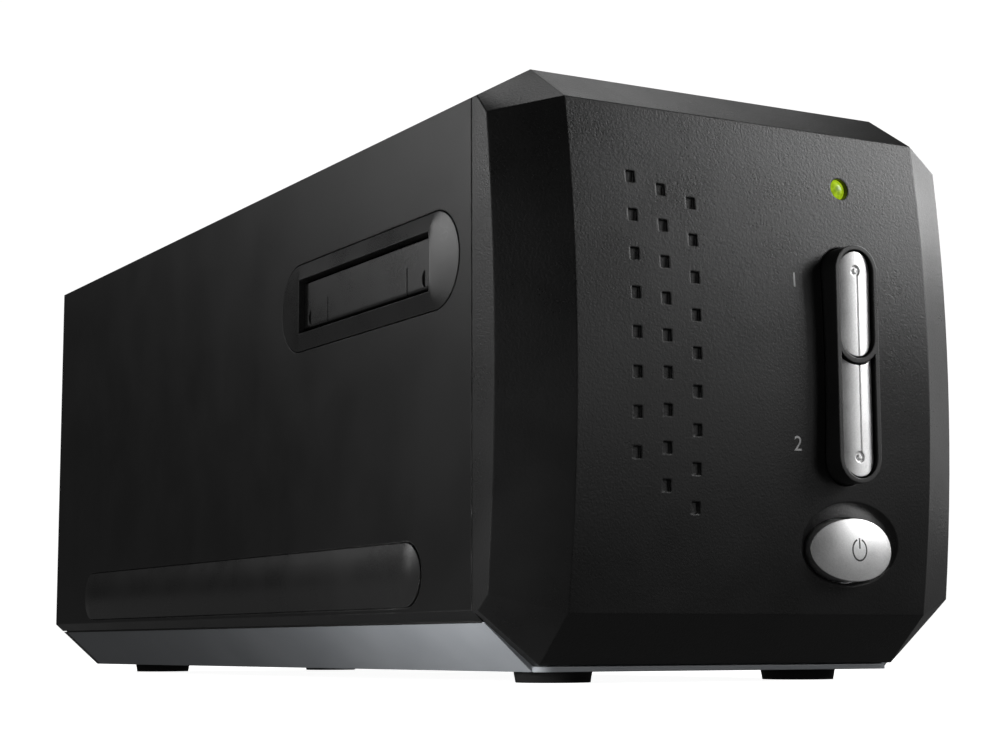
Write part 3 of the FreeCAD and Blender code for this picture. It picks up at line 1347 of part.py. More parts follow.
def make_carriage():
    """Plate on two rods with a mirror box, a lens saddle, a sensor wall and a home flag."""
    recess_z = carriage_bottom + S.carriage_recess_floor
    past = (carriage_y[0] - S.overrun, carriage_y[1] + S.overrun)
    plate = block("carriage_plate", about(ZERO, carriage_half_width), carriage_y,
                  (carriage_bottom, carriage_top))
    recess = block("carriage_recess", about(ZERO, recess_half_width), (mirror_box_y[1], sensor_y),
                   (recess_z, carriage_top + S.overrun))
    box = block("mirror_box", about(ZERO, S.mirror_box_half_width), mirror_box_y,
                (carriage_top, mirror_box_top))
    box_hollow = block("mirror_box_hollow", about(ZERO, S.mirror_box_half_width - S.mirror_box_wall),
                       (mirror_box_y[0] + S.mirror_box_wall, mirror_box_y[1] + S.overrun),
                       (carriage_top, mirror_box_top - S.mirror_box_wall))
    slot = block("mirror_box_slot", about(ZERO, S.aperture_width / 2),
                 about(mirror_y, S.light_slot_length / 2), (carriage_top, mirror_box_top + S.overrun))
    saddle_y = about(lens_y, S.saddle_length / 2)
    saddle = block("lens_saddle", about(ZERO, saddle_half_width), saddle_y, (recess_z, optic_z))
    saddle_bore = cylinder("lens_saddle_bore", "y", lens_radius,
                           (saddle_y[0] - S.overrun, saddle_y[1] + S.overrun), (ZERO, optic_z))
    wall_y = (sensor_y, sensor_y + S.sensor_wall)
    wall = block("sensor_wall_plate", about(ZERO, S.sensor_half_width), wall_y, (carriage_top, sensor_top))
    window = block("sensor_window", about(ZERO, S.sensor_chip_half_width),
                   (wall_y[0] - S.overrun, wall_y[1] + S.overrun), about(optic_z, sensor_chip_half_height))
    flag_y = (carriage_y[1] - 2 * S.flag_length, carriage_y[1] - S.flag_length)
    flag_top = carriage_top + FLAG_HEIGHT_SHARE * optics_height
    flag = block("home_flag", about(flag_x, S.flag_wall / 2), flag_y, (carriage_top, flag_top))
    tools = [
        block("carriage_screw_channel", about(ZERO, S.screw_channel_half_width), past,
              (carriage_bottom - S.overrun, recess_z)),
        block("carriage_nut_space", about(ZERO, S.screw_channel_half_width),
              (carriage_y[1] - S.nut_length, past[1]), (carriage_bottom - S.overrun, carriage_top)),
        cylinder("carriage_screw_space", "y", S.lead_screw_radius + S.carriage_rod_gap, past, (ZERO, rod_z))]
    for side in (-1, 1):
        centre = (side * rod_x, rod_z)
        tools.append(cylinder(f"carriage_rod_space_{side}", "y", rod_radius + S.carriage_rod_gap, past,
                              centre))
        tools += [cylinder(f"carriage_bush_seat_{side}_{n}", "y", bush_radius, span, centre)
                  for n, span in enumerate(bush_spans())]
    whole = fuse("carriage_built", cut("carriage_shaped", plate, recess),
                 cut("mirror_box_cut", box, box_hollow, slot), cut("saddle_cut", saddle, saddle_bore),
                 cut("sensor_wall_cut", wall, window), flag)
    return subpart("scan_carriage", cut("carriage_cut", whole, *tools))


def bush_spans():
    return [(carriage_y[0], carriage_y[0] + S.bush_length), (carriage_y[1] - S.bush_length, carriage_y[1])]


def make_carriage_bushes():
    bushes = []
    for side in (-1, 1):
        for n, span in enumerate(bush_spans()):
            centre = (side * rod_x, rod_z)
            tube = cylinder(f"bush_outer_{side}_{n}", "y", bush_radius, span, centre)
            bore = cylinder(f"bush_bore_{side}_{n}", "y", rod_radius + S.sliding_gap,
                            (span[0] - S.overrun, span[1] + S.overrun), centre)
            bushes.append(cut(f"bush_{side}_{n}", tube, bore))
    return subpart("carriage_bushes", group("bush_group", *bushes))


def make_drive_nut():
    span = (carriage_y[1] - S.nut_length, carriage_y[1])
    case = block("nut_block", about(ZERO, S.screw_channel_half_width), span,
                 (carriage_bottom, carriage_top))
    bore = cylinder("nut_bore", "y", S.lead_screw_radius + S.sliding_gap,
                    (span[0] - S.overrun, span[1] + S.overrun), (ZERO, rod_z))
    return subpart("drive_nut", cut("nut_cut", case, bore))


def make_mirror():
    """Front-surface mirror at 45 degrees in its box, under the light slot."""
    body = new_body("mirror_body")
    low = (mirror_y + mirror_reach, optic_z - mirror_reach)
    high = (mirror_y - mirror_reach, optic_z + mirror_reach)
    path = [low, high, (high[0] - mirror_skin, high[1] - mirror_skin),
            (low[0] - mirror_skin, low[1] - mirror_skin)]
    pad(body, "mirror_profile", "x", about(ZERO, S.mirror_box_half_width - S.mirror_box_wall), path)
    return subpart("scan_mirror", body)


def make_lens():
    """Barrel with a stepped bore, and one glass element in it, held in the saddle by a strap."""
    barrel_y = about(lens_y, S.lens_length / 2)
    tube = cylinder("lens_tube", "y", lens_radius, barrel_y, (ZERO, optic_z))
    bore_radius = lens_radius - S.lens_wall
    bore = cylinder("lens_tube_bore", "y", bore_radius, (barrel_y[0] - S.overrun, barrel_y[1] + S.overrun),
                    (ZERO, optic_z))
    subpart("lens_barrel", cut("lens_barrel_cut", tube, bore))
    subpart("lens_glass", cylinder("lens_disc", "y", bore_radius,
                                   (barrel_y[0] + S.lens_wall, barrel_y[0] + S.lens_wall + S.lens_glass_wall),
                                   (ZERO, optic_z)))
    strap_y = about(lens_y, S.saddle_length / 2)
    strap_block = block("strap_block", about(ZERO, saddle_half_width), strap_y,
                        (optic_z, optic_z + lens_radius + S.strap_wall))
    strap_bore = cylinder("strap_bore", "y", lens_radius + S.sliding_gap,
                          (strap_y[0] - S.overrun, strap_y[1] + S.overrun), (ZERO, optic_z))
    strap_top = cylinder("strap_round", "y", lens_radius + S.strap_wall, strap_y, (ZERO, optic_z))
    ears = block("strap_ears", about(ZERO, saddle_half_width), strap_y, (optic_z, optic_z + S.strap_wall))
    arch = fuse("strap_arch", common("strap_arch_half", strap_block, strap_top), ears)
    return subpart("lens_strap", cut("strap_cut", arch, strap_bore))


def make_sensor():
    board_y = (sensor_y + S.sensor_wall, sensor_y + S.sensor_wall + S.sensor_board_wall)
    subpart("sensor_board", block("sensor_board_plate", about(ZERO, S.sensor_half_width), board_y,
                                  (carriage_top, sensor_top)))
    chip = block("sensor_chip", about(ZERO, S.sensor_chip_half_width), (sensor_y, sensor_y + S.sensor_wall),
                 about(optic_z, sensor_chip_half_height))
    return subpart("image_sensor", chip)


def make_home_sensor():
    """Forked light barrier on the frame's side wall that the carriage's flag enters."""
    flag_middle = carriage_y[1] - S.flag_length * 3 / 2
    case_y = about(flag_middle, S.home_sensor_length / 2)
    case_top = home_sensor_bottom + HOME_HEIGHT_SHARE * optics_height
    slot_top = home_sensor_bottom + HOME_SLOT_SHARE * optics_height
    case = block("home_sensor_case", (-frame_inner_x, -frame_inner_x + S.home_sensor_width), case_y,
                 (home_sensor_bottom, case_top))
    slot = block("home_sensor_slot", about(flag_x, S.home_slot_width / 2),
                 (case_y[0] - S.overrun, case_y[1] + S.overrun), (home_sensor_bottom - S.overrun, slot_top))
    return subpart("home_sensor", cut("home_sensor_cut", case, slot))


def make_drive():
    """Lead screw from its front bearing through the frame into the motor, and the motor on its bracket."""
    axis = (ZERO, rod_z)
    motor_front = frame_rear + S.motor_bracket_wall
    bore_end = motor_front + S.motor_bore_depth
    subpart("lead_screw", cylinder("lead_screw_rod", "y", S.lead_screw_radius,
                                   (frame_front, bore_end - S.overrun), axis))
    bearing = cylinder("bearing_ring", "y", S.bearing_radius, (frame_front, frame_front + S.frame_wall),
                       axis)
    bearing_bore = cylinder("bearing_bore", "y", S.lead_screw_radius + S.sliding_gap,
                            (frame_front - S.overrun, frame_front + S.frame_wall + S.overrun), axis)
    subpart("screw_bearing", cut("bearing_cut", bearing, bearing_bore))
    through = (frame_rear - S.overrun, motor_front + S.overrun)
    plate = block("bracket_plate", about(ZERO, S.motor_bracket_half_width), (frame_rear, motor_front),
                  (frame_bottom, rod_z + S.motor_radius))
    plate_hole = cylinder("bracket_hole", "y", S.motor_hub_radius + S.sliding_gap, through, axis)
    bolt_holes = [cylinder(f"bracket_bolt_hole_{side}", "y", S.screw_radius + S.sliding_gap, through,
                           (side * (S.motor_bracket_half_width - S.motor_bracket_margin), rod_z))
                  for side in (-1, 1)]
    subpart("motor_bracket", cut("bracket_cut", plate, plate_hole, *bolt_holes))
    can = cylinder("motor_can", "y", S.motor_radius, (motor_front, motor_front + S.motor_length), axis)
    hub = cylinder("motor_hub", "y", S.motor_hub_radius,
                   (motor_front - S.motor_hub_length, motor_front), axis)
    bore = cylinder("motor_bore", "y", S.lead_screw_radius + S.sliding_gap,
                    (motor_front - S.motor_hub_length - S.overrun, bore_end), axis)
    return subpart("stepper_motor", cut("motor_cut", fuse("motor_whole", can, hub), bore))


# Electronics and fasteners

def make_main_board():
    """Board on four standoffs with its chips, and the two sockets at its rear edge."""
    plate = block("main_board_plate", about(ZERO, board_half_width), (board_front, board_rear),
                  (board_z, board_top))
    holes = [cylinder(f"main_board_hole_{n}", "z", S.screw_radius + S.sliding_gap,
                      (board_z - S.overrun, board_top + S.overrun), spot)
             for n, spot in enumerate(standoff_spots(), start=1)]
    subpart("main_board", cut("main_board_cut", plate, *holes))
    length = board_rear - board_front
    chips = []
    for n, (across, along) in enumerate(CHIP_PLACE_SHARES, start=1):
        x = across * board_half_width
        y = board_front + along * length
        chips.append(block(f"chip_{n}", about(x, S.chip_size / 2), about(y, S.chip_size / 2),
                           (board_top, board_top + S.chip_height)))
    subpart("main_board_chips", group("chip_group", *chips))
    usb_y = (rear - S.usb_depth, rear)
    usb_z = (board_top, board_top + S.usb_height)
    shell = block("usb_shell", about(usb_x, S.usb_width / 2), usb_y, usb_z)
    mouth = block("usb_mouth", about(usb_x, S.usb_width / 2 - S.usb_wall), (usb_y[0] + S.usb_wall * 2,
                  usb_y[1] + S.overrun), (usb_z[0] + S.usb_wall, usb_z[1] - S.usb_wall))
    tongue = block("usb_tongue", about(usb_x, S.usb_tongue_width / 2), (usb_y[0], rear - S.usb_wall),
                   about(usb_z[0] + S.usb_height / 2, S.usb_tongue_height / 2))
    subpart("usb_socket", fuse("usb_whole", cut("usb_hollow", shell, mouth), tongue))
    jack_y = (rear - S.jack_depth, rear)
    jack_mid = (jack_x, board_top + S.jack_height / 2)
    case = block("jack_case", about(jack_x, S.jack_width / 2), jack_y,
                 (board_top, board_top + S.jack_height))
    bore = cylinder("jack_bore_hole", "y", S.jack_bore, (rear - S.jack_bore_depth, rear + S.overrun),
                    jack_mid)
    pin = cylinder("jack_centre_pin", "y", S.jack_pin, (jack_y[0], rear - S.overrun), jack_mid)
    subpart("power_socket", fuse("jack_whole", cut("jack_hollow", case, bore), pin))


def make_screws():
    """Groups of identical screws, each in the holes of the pieces that it joins."""
    short = S.screw_length - S.screw_radius
    head = S.screw_head_height
    frame_screws = [screw(f"frame_screw_{n}", "z", frame_floor + head, spot, short + S.frame_wall, -1)
                    for n, spot in enumerate(frame_post_spots(), start=1)]
    subpart("frame_screws", group("frame_screw_group", *frame_screws))
    board_screws = [screw(f"board_screw_{n}", "z", board_top + head, spot, short, -1)
                    for n, spot in enumerate(standoff_spots(), start=1)]
    subpart("main_board_screws", group("board_screw_group", *board_screws))
    panel_screws = [screw(f"rear_screw_{n}", "y", rear, spot, short, -1)
                    for n, spot in enumerate(rear_screw_spots(), start=1)]
    subpart("rear_panel_screws", group("rear_screw_group", *panel_screws))
    bezel_screws = [screw(f"bezel_screw_{side}", "z", S.foot_height,
                          (side * S.bezel_tab_x, bezel_tab_screw_y), S.bezel_tab_height) for side in (-1, 1)]
    subpart("bezel_screws", group("bezel_screw_group", *bezel_screws))


def check_document():
    """Stops if any object failed, or if any sub-part is empty or broken."""
    for obj in doc.Objects:
        if any(word in obj.State for word in ("Invalid", "Error")):
            raise RuntimeError(f"{obj.Name} failed: {obj.State}")
    for name, obj in SUBPARTS.items():
        if obj.Shape.isNull() or not obj.Shape.isValid():
            raise RuntimeError(f"{name} has no sound shape")
        if not obj.Shape.Solids:
            raise RuntimeError(f"{name} holds no solid")


def write_parts():
    os.makedirs("parts", exist_ok=True)
    for name, obj in SUBPARTS.items():
        obj.Shape.exportStep(os.path.join("parts", f"{name}.step"))


make_base_tray()
make_top_cover()
make_front_bezel()
make_rear_panel()
make_rubber_feet()
make_film_gates()
make_dust_doors()
make_side_pads()
make_button_surround()
make_scan_buttons()
make_power_button()
make_switches()
make_button_board()
make_status_light()
make_optical_frame()
make_film_guides()
make_indexing_spring()
make_lamp()
make_guide_rods()
make_carriage()
make_carriage_bushes()
make_drive_nut()
make_mirror()
make_lens()
make_sensor()
make_home_sensor()
make_drive()
make_main_board()
make_screws()
doc.recompute()
check_document()
write_parts()
print("sub-parts:", len(SUBPARTS))
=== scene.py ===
import json
import math

import bmesh
import bpy
from mathutils import Matrix, Vector
from mathutils.bvhtree import BVHTree

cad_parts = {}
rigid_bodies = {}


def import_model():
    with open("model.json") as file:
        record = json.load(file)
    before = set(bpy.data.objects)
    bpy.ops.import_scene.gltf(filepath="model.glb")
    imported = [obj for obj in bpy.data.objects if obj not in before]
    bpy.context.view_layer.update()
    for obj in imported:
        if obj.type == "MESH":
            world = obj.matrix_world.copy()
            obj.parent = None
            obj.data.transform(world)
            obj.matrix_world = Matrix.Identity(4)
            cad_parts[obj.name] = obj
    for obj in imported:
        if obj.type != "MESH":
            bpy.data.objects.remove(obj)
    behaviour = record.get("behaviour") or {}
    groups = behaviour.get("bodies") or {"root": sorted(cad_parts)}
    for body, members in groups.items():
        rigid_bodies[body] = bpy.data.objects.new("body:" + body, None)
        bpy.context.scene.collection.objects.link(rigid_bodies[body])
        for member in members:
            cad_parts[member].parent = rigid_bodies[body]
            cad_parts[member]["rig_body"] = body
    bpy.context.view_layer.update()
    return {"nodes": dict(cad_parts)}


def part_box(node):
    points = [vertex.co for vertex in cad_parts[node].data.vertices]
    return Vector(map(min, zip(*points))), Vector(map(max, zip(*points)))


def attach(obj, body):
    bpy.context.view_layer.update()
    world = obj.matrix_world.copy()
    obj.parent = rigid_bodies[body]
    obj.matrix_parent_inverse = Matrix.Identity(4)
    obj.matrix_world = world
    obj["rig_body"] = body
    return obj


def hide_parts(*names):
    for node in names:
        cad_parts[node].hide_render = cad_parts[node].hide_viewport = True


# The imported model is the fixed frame; everything below is in metres in its axes:
# Z up, the front of the scanner towards -Y, the floor at zero.
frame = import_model()
MM = 0.001


def mm(*numbers):
    """A place given in millimetres, in metres."""
    return Vector(numbers) * MM


# Camera: fitted to the corners of the housing in the photograph, seen from low down at the front left

CAMERA_PLACE = mm(-238.5, -453.1, 7.3)
CAMERA_AZIMUTH = math.radians(29.41)
CAMERA_RISE = math.radians(7.51)
CAMERA_ROLL = -0.0033
CAMERA_LENS = 73.74


def make_camera():
    data = bpy.data.cameras.new("camera")
    data.lens = CAMERA_LENS
    data.sensor_width = 36
    data.clip_start = 0.01
    data.clip_end = 50
    camera = bpy.data.objects.new("camera", data)
    bpy.context.scene.collection.objects.link(camera)
    ahead = Vector((math.sin(CAMERA_AZIMUTH) * math.cos(CAMERA_RISE),
                    math.cos(CAMERA_AZIMUTH) * math.cos(CAMERA_RISE), math.sin(CAMERA_RISE)))
    level = ahead.cross(Vector((0, 0, 1))).normalized()
    upward = level.cross(ahead)
    right = math.cos(CAMERA_ROLL) * level + math.sin(CAMERA_ROLL) * upward
    over = -math.sin(CAMERA_ROLL) * level + math.cos(CAMERA_ROLL) * upward
    turn = Matrix((right, over, -ahead)).transposed().to_4x4()
    camera.matrix_world = Matrix.Translation(CAMERA_PLACE) @ turn
    bpy.context.scene.camera = camera


# Node helpers for the procedural materials


class Finish:
    """One procedural material, built node by node in metres of the row frame."""

    def __init__(self, name):
        self.material = bpy.data.materials.new(name)
        self.material.use_nodes = True
        self.tree = self.material.node_tree
        self.tree.nodes.clear()
        self.shader = self.node("ShaderNodeBsdfPrincipled")
        output = self.node("ShaderNodeOutputMaterial")
        self.link(self.shader.outputs["BSDF"], output.inputs["Surface"])
        self.place = self.node("ShaderNodeTexCoord").outputs["Object"]

    def node(self, kind):
        return self.tree.nodes.new(kind)

    def link(self, source, target):
        self.tree.links.new(source, target)

    def set(self, **values):
        """Sets sockets of the shader itself."""
        for key, value in values.items():
            self.shader.inputs[key.replace("_", " ").title().replace("Ior", "IOR")].default_value = value

    def stretched(self, x, y, z):
        """The place, with each axis drawn out by its own factor, for brushed and cast grain."""
        mapping = self.node("ShaderNodeMapping")
        mapping.inputs["Scale"].default_value = (x, y, z)
        self.link(self.place, mapping.inputs["Vector"])
        return mapping.outputs["Vector"]

    def noise(self, size, detail=2.0, place=None):
        """Cloudy noise whose blotches are about size metres across."""
        noise = self.node("ShaderNodeTexNoise")
        noise.inputs["Scale"].default_value = 1 / size
        noise.inputs["Detail"].default_value = detail
        self.link(place or self.place, noise.inputs["Vector"])
        return noise.outputs["Fac"]

    def cells(self, size, feature="F1"):
        """Distance to the nearest of scattered points about size metres apart."""
        cells = self.node("ShaderNodeTexVoronoi")
        cells.feature = feature
        cells.inputs["Scale"].default_value = 1 / size
        self.link(self.place, cells.inputs["Vector"])
        return cells.outputs["Distance"]

    def spread(self, value, low, high, start=0.3, end=0.7):
        """The value's range from start to end, drawn out from low to high."""
        ranged = self.node("ShaderNodeMapRange")
        ranged.inputs["From Min"].default_value = start
        ranged.inputs["From Max"].default_value = end
        ranged.inputs["To Min"].default_value = low
        ranged.inputs["To Max"].default_value = high
        self.link(value, ranged.inputs["Value"])
        return ranged.outputs["Result"]

    def maths(self, kind, first, second):
        """Maths on two sockets, or on a socket and a number."""
        step = self.node("ShaderNodeMath")
        step.operation = kind
        self.link(first, step.inputs[0])
        if isinstance(second, (int, float)):
            step.inputs[1].default_value = second
        else:
            self.link(second, step.inputs[1])
        return step.outputs["Value"]

    def between(self, value, dark, light):
        """A colour between dark and light by the value."""
        mix = self.node("ShaderNodeMix")
        mix.data_type = "RGBA"
        self.link(value, mix.inputs["Factor"])
        for key, colour in (("A", dark), ("B", light)):
            socket = [s for s in mix.inputs if s.name == key and s.type == "RGBA"][0]
            if isinstance(colour, bpy.types.NodeSocket):
                self.link(colour, socket)
            else:
                socket.default_value = (*colour, 1)
        return [s for s in mix.outputs if s.type == "RGBA"][0]

    def relief(self, height, depth, under):
        """A bump of depth metres from a height between 0 and 1, over the direction that lies under it."""
        bump = self.node("ShaderNodeBump")
        bump.inputs["Strength"].default_value = 1
        bump.inputs["Distance"].default_value = depth
        self.link(height, bump.inputs["Height"])
        self.link(under, bump.inputs["Normal"])
        return bump.outputs["Normal"]

    def softened(self, radius):
        """The surface's direction with its edges rounded by radius."""
        bevel = self.node("ShaderNodeBevel")
        bevel.samples = 6
        bevel.inputs["Radius"].default_value = radius
        return bevel.outputs["Normal"]

    def edges(self, radius):
        """1 on edges and corners, 0 on flat ground: where the rounded direction leaves the true one."""
        geometry = self.node("ShaderNodeNewGeometry")
        dot = self.node("ShaderNodeVectorMath")
        dot.operation = "DOT_PRODUCT"
        self.link(self.softened(radius), dot.inputs[0])
        self.link(geometry.outputs["Normal"], dot.inputs[1])
        away = self.node("ShaderNodeMath")
        away.operation = "SUBTRACT"
        away.inputs[0].default_value = 1
        self.link(dot.outputs["Value"], away.inputs[1])
        return self.spread(away.outputs["Value"], 0, 1, 0.02, 0.25)

    def colour(self, socket):
        self.link(socket, self.shader.inputs["Base Color"])

    def roughness(self, socket):
        self.link(socket, self.shader.inputs["Roughness"])

    def normal(self, socket):
        self.link(socket, self.shader.inputs["Normal"])


def grey(value):
    return (value, value, value)


def moulded(name, dark, light, rough, grain, depth, edge, wear_and_highlight=0.0, wear_and_highlight_colour=None, specular=0.5):
    """Moulded plastic: spark-eroded grain, cloudy colour, uneven gloss, and edges with a small radius,
    which are lightened partly by wear and partly by a painted highlight.

    rough is a pair. The size of the grain, its depth and the radius of the edges are in millimetres, and the
    edges are lightened by the given share towards the given edge colour: partly rubbed wear, partly a painted
    highlight where light would catch the rounded edges."""
    finish = Finish(name)
    cloud = finish.noise(0.018, 3)
    speck = finish.noise(grain * MM * 0.7, 4)
    colour = finish.between(finish.spread(cloud, 0, 1, 0.35, 0.65), dark, light)
    # Edges lighten towards a paler colour: partly rubbed wear, partly a painted highlight standing in for
    # light on the rounded edges.
    if wear_and_highlight:
        wear_and_highlight_share = finish.spread(finish.noise(0.002, 3), 0, wear_and_highlight)
        mask = finish.maths("MULTIPLY", finish.edges(edge * 1.5 * MM), wear_and_highlight_share)
        colour = finish.between(mask, colour, wear_and_highlight_colour or light)
    finish.colour(colour)
    gloss = finish.maths("ADD", finish.spread(cloud, rough[0], rough[1]), finish.spread(speck, -0.03, 0.03))
    finish.roughness(gloss)
    pits = finish.cells(grain * MM, feature="SMOOTH_F1")
    height = finish.maths("ADD", finish.spread(pits, 0, 0.7, 0, 0.8), finish.spread(speck, 0, 0.5))
    finish.normal(finish.relief(height, depth * MM, finish.softened(edge * MM)))
    finish.set(specular_ior_level=specular)
    return finish


def metal(name, dark, light, rough, brushed, grain, depth, edge=0.15):
    """Bare or plated metal: fine lines or blasted grain, drawn out along an axis by brushed."""
    finish = Finish(name)
    lines = finish.noise(grain * MM, 3, finish.stretched(*brushed))
    cloud = finish.noise(0.006, 3)
    finish.colour(finish.between(finish.spread(lines, 0, 1), dark, light))
    gloss = finish.spread(lines, rough[0], rough[1])
    finish.roughness(finish.maths("ADD", gloss, finish.spread(cloud, -0.05, 0.05)))
    finish.normal(finish.relief(lines, depth * MM, finish.softened(edge * MM)))
    finish.set(metallic=1.0)
    return finish


def circuit(name):
    """Green solder mask over slightly raised copper tracks."""
    finish = Finish(name)
    tracks = finish.cells(0.0042, feature="DISTANCE_TO_EDGE")
    run = finish.spread(tracks, 1, 0, 0.05, 0.09)
    cloud = finish.noise(0.012, 2)
    mask = finish.between(finish.spread(cloud, 0, 1), (0.006, 0.05, 0.018), (0.01, 0.075, 0.028))
    finish.colour(finish.between(run, mask, (0.03, 0.16, 0.05)))
    finish.roughness(finish.spread(finish.noise(0.001, 3), 0.28, 0.42))
    finish.normal(finish.relief(run, 0.02 * MM, finish.softened(0.1 * MM)))
    finish.set(specular_ior_level=0.6)
    return finish


def glass(name, tint, rough):
    """Clear glass or a clear moulding, with faint striae."""
    finish = Finish(name)
    striae = finish.noise(0.002, 2)
    finish.colour(finish.between(finish.spread(striae, 0, 1), tint, grey(0.98)))
    finish.roughness(finish.spread(striae, rough, rough + 0.04))
    finish.set(transmission_weight=0.9, ior=1.5)
    return finish


def glowing(name, centre, radius, core, rim, strength, rough, axes):
    """A lit moulding: core colour round its centre, rim colour towards its edge, with a fine pebble in it."""
    finish = Finish(name)
    away = finish.node("ShaderNodeVectorMath")
    away.operation = "DISTANCE"
    away.inputs[1].default_value = tuple(c * a for c, a in zip(centre, axes))
    finish.link(finish.stretched(*axes), away.inputs[0])
    pebble = finish.cells(0.0009)
    reach = finish.spread(away.outputs["Value"], 0, 1, 0, radius)
    reach = finish.maths("ADD", reach, finish.spread(pebble, -0.18, 0.18))
    glow = finish.between(reach, core, rim)
    finish.colour(glow)
    finish.link(glow, finish.shader.inputs["Emission Color"])
    finish.roughness(finish.spread(pebble, rough, rough + 0.1))
    finish.normal(finish.relief(pebble, 0.03 * MM, finish.softened(0.2 * MM)))
    finish.set(emission_strength=strength, coat_weight=0.25)
    return finish


LIGHT_LOW, LIGHT_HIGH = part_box("status_light")
LIGHT_CENTRE = Vector(((LIGHT_LOW.x + LIGHT_HIGH.x) / 2, LIGHT_LOW.y, (LIGHT_LOW.z + LIGHT_HIGH.z) / 2))


def make_finishes():
    """One finish for each material slot of the record."""
    # The edge shares and edge colours below lighten the edges partly by wear, partly by a painted highlight.
    return {
        "black_textured": moulded("black_textured", grey(0.008), grey(0.012), (0.28, 0.34), 0.50, 0.021, 0.5,
                                  wear_and_highlight=0.4, wear_and_highlight_colour=grey(0.05)),
        "black_coat": moulded("black_coat", grey(0.0040), grey(0.0052), (0.30, 0.35), 0.30, 0.0018, 0.35,
                              wear_and_highlight=0.6, wear_and_highlight_colour=grey(0.12)),
        "black_satin": moulded("black_satin", grey(0.007), grey(0.010), (0.26, 0.33), 0.25, 0.003, 0.3,
                               wear_and_highlight=0.5, wear_and_highlight_colour=grey(0.06), specular=0.85),
        "silver_plastic": moulded("silver_plastic", (0.27, 0.285, 0.305), (0.31, 0.325, 0.345), (0.40, 0.48),
                                  0.2, 0.004, 0.3, wear_and_highlight=0.3, wear_and_highlight_colour=grey(0.5)),
        "rubber": moulded("rubber", grey(0.012), grey(0.018), (0.72, 0.82), 0.3, 0.02, 0.4,
                          wear_and_highlight=0.3, wear_and_highlight_colour=grey(0.03), specular=0.3),
        "satin_chrome": metal("satin_chrome", grey(0.86), grey(0.97), (0.36, 0.46), (1, 1, 1), 0.28, 0.009,
                              0.3),
        "light_pipe": glowing("light_pipe", LIGHT_CENTRE, 2.2 * MM, (0.16, 0.27, 0.006), (0.52, 0.76, 0.02),
                              0.66, 0.35, axes=(1, 0, 1)),
        "lit_diode": moulded("lit_diode", (0.5, 0.65, 0.2), (0.6, 0.75, 0.3), (0.3, 0.4), 0.2, 0.004, 0.1),
        "white_diode": moulded("white_diode", (0.75, 0.73, 0.5), (0.8, 0.78, 0.6), (0.3, 0.4), 0.2, 0.004,
                               0.1),
        "diffuser": moulded("diffuser", grey(0.78), grey(0.85), (0.5, 0.6), 0.3, 0.01, 0.2),
        "frame_plastic": moulded("frame_plastic", grey(0.018), grey(0.028), (0.55, 0.65), 0.4, 0.015, 0.3),
        "circuit_board": circuit("circuit_board"),
        "chip_black": moulded("chip_black", grey(0.014), grey(0.02), (0.5, 0.6), 0.2, 0.006, 0.1),
        "switch_case": moulded("switch_case", grey(0.013), grey(0.018), (0.42, 0.5), 0.2, 0.005, 0.15),
        "plunger_plastic": moulded("plunger_plastic", (0.5, 0.46, 0.38), (0.56, 0.52, 0.44), (0.4, 0.5), 0.25,
                                   0.004, 0.15),
        "rod_steel": metal("rod_steel", grey(0.6), grey(0.68), (0.14, 0.2), (30, 1, 30), 0.5, 0.001),
        "screw_steel": metal("screw_steel", grey(0.1), grey(0.16), (0.3, 0.4), (1, 1, 1), 0.2, 0.004),
        "spring_steel": metal("spring_steel", grey(0.5), grey(0.58), (0.22, 0.3), (1, 30, 30), 0.4, 0.001),
        "motor_steel": metal("motor_steel", grey(0.42), grey(0.5), (0.28, 0.38), (20, 1, 20), 0.4, 0.002),
        "socket_steel": metal("socket_steel", grey(0.58), grey(0.66), (0.2, 0.28), (20, 1, 20), 0.4, 0.001),
        "bearing_bronze": metal("bearing_bronze", (0.5, 0.34, 0.16), (0.58, 0.42, 0.22), (0.3, 0.42),
                                (1, 1, 1), 0.3, 0.006),
        "bracket_aluminium": metal("bracket_aluminium", grey(0.58), grey(0.66), (0.3, 0.4), (1, 30, 1), 0.4,
                                   0.002),
        "lens_aluminium": metal("lens_aluminium", grey(0.03), grey(0.045), (0.34, 0.42), (1, 20, 1), 0.4,
                                0.002),
        "lens_glass": glass("lens_glass", (0.9, 0.92, 0.97), 0.0),
        "mirror": metal("mirror", grey(0.86), grey(0.9), (0.01, 0.02), (1, 1, 1), 4.0, 0.0002, 0.05),
    }


def dress_nodes(finishes):
    """Every carried-over solid gets the finish of its material slot."""
    for node in frame["nodes"].values():
        slot = node.data.materials[0].name.split(".")[0]
        node.data.materials.clear()
        node.data.materials.append(finishes[slot].material)


# Small pieces


def new_piece(name, mesh_data, material, body):
    """An object for a finished bmesh, riding on its body."""
    mesh = bpy.data.meshes.new(name)
    mesh_data.to_mesh(mesh)
    mesh_data.free()
    mesh.materials.append(material)
    piece = bpy.data.objects.new(name, mesh)
    bpy.context.scene.collection.objects.link(piece)
    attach(piece, body)
    return piece


def skin_of(node):
    """A tree of a carried-over solid's faces, for laying pieces on it."""
    mesh = frame["nodes"][node].data
    return BVHTree.FromPolygons([v.co for v in mesh.vertices], [p.vertices[:] for p in mesh.polygons])


def lay_on_front(points, skin, lift):
    """Each (x, z) in metres on the skin as seen from the front, lifted forward by lift."""
    laid = []
    for x, z in points:
        hit, _, _, _ = skin.ray_cast(Vector((x, -0.2, z)), Vector((0, 1, 0)))
        laid.append(Vector((x, hit.y - lift, z)))
    return laid


def ribbon_points(centreline, width):
    """Left and right edges of a flat line of the given width."""
    lefts, rights = [], []
    for i, here in enumerate(centreline):
        before = centreline[max(i - 1, 0)]
        after = centreline[min(i + 1, len(centreline) - 1)]
        along = (Vector(after) - Vector(before)).normalized()
        across = Vector((-along.y, along.x)) * width / 2
        lefts.append(Vector(here) + across)
        rights.append(Vector(here) - across)
    return lefts, rights


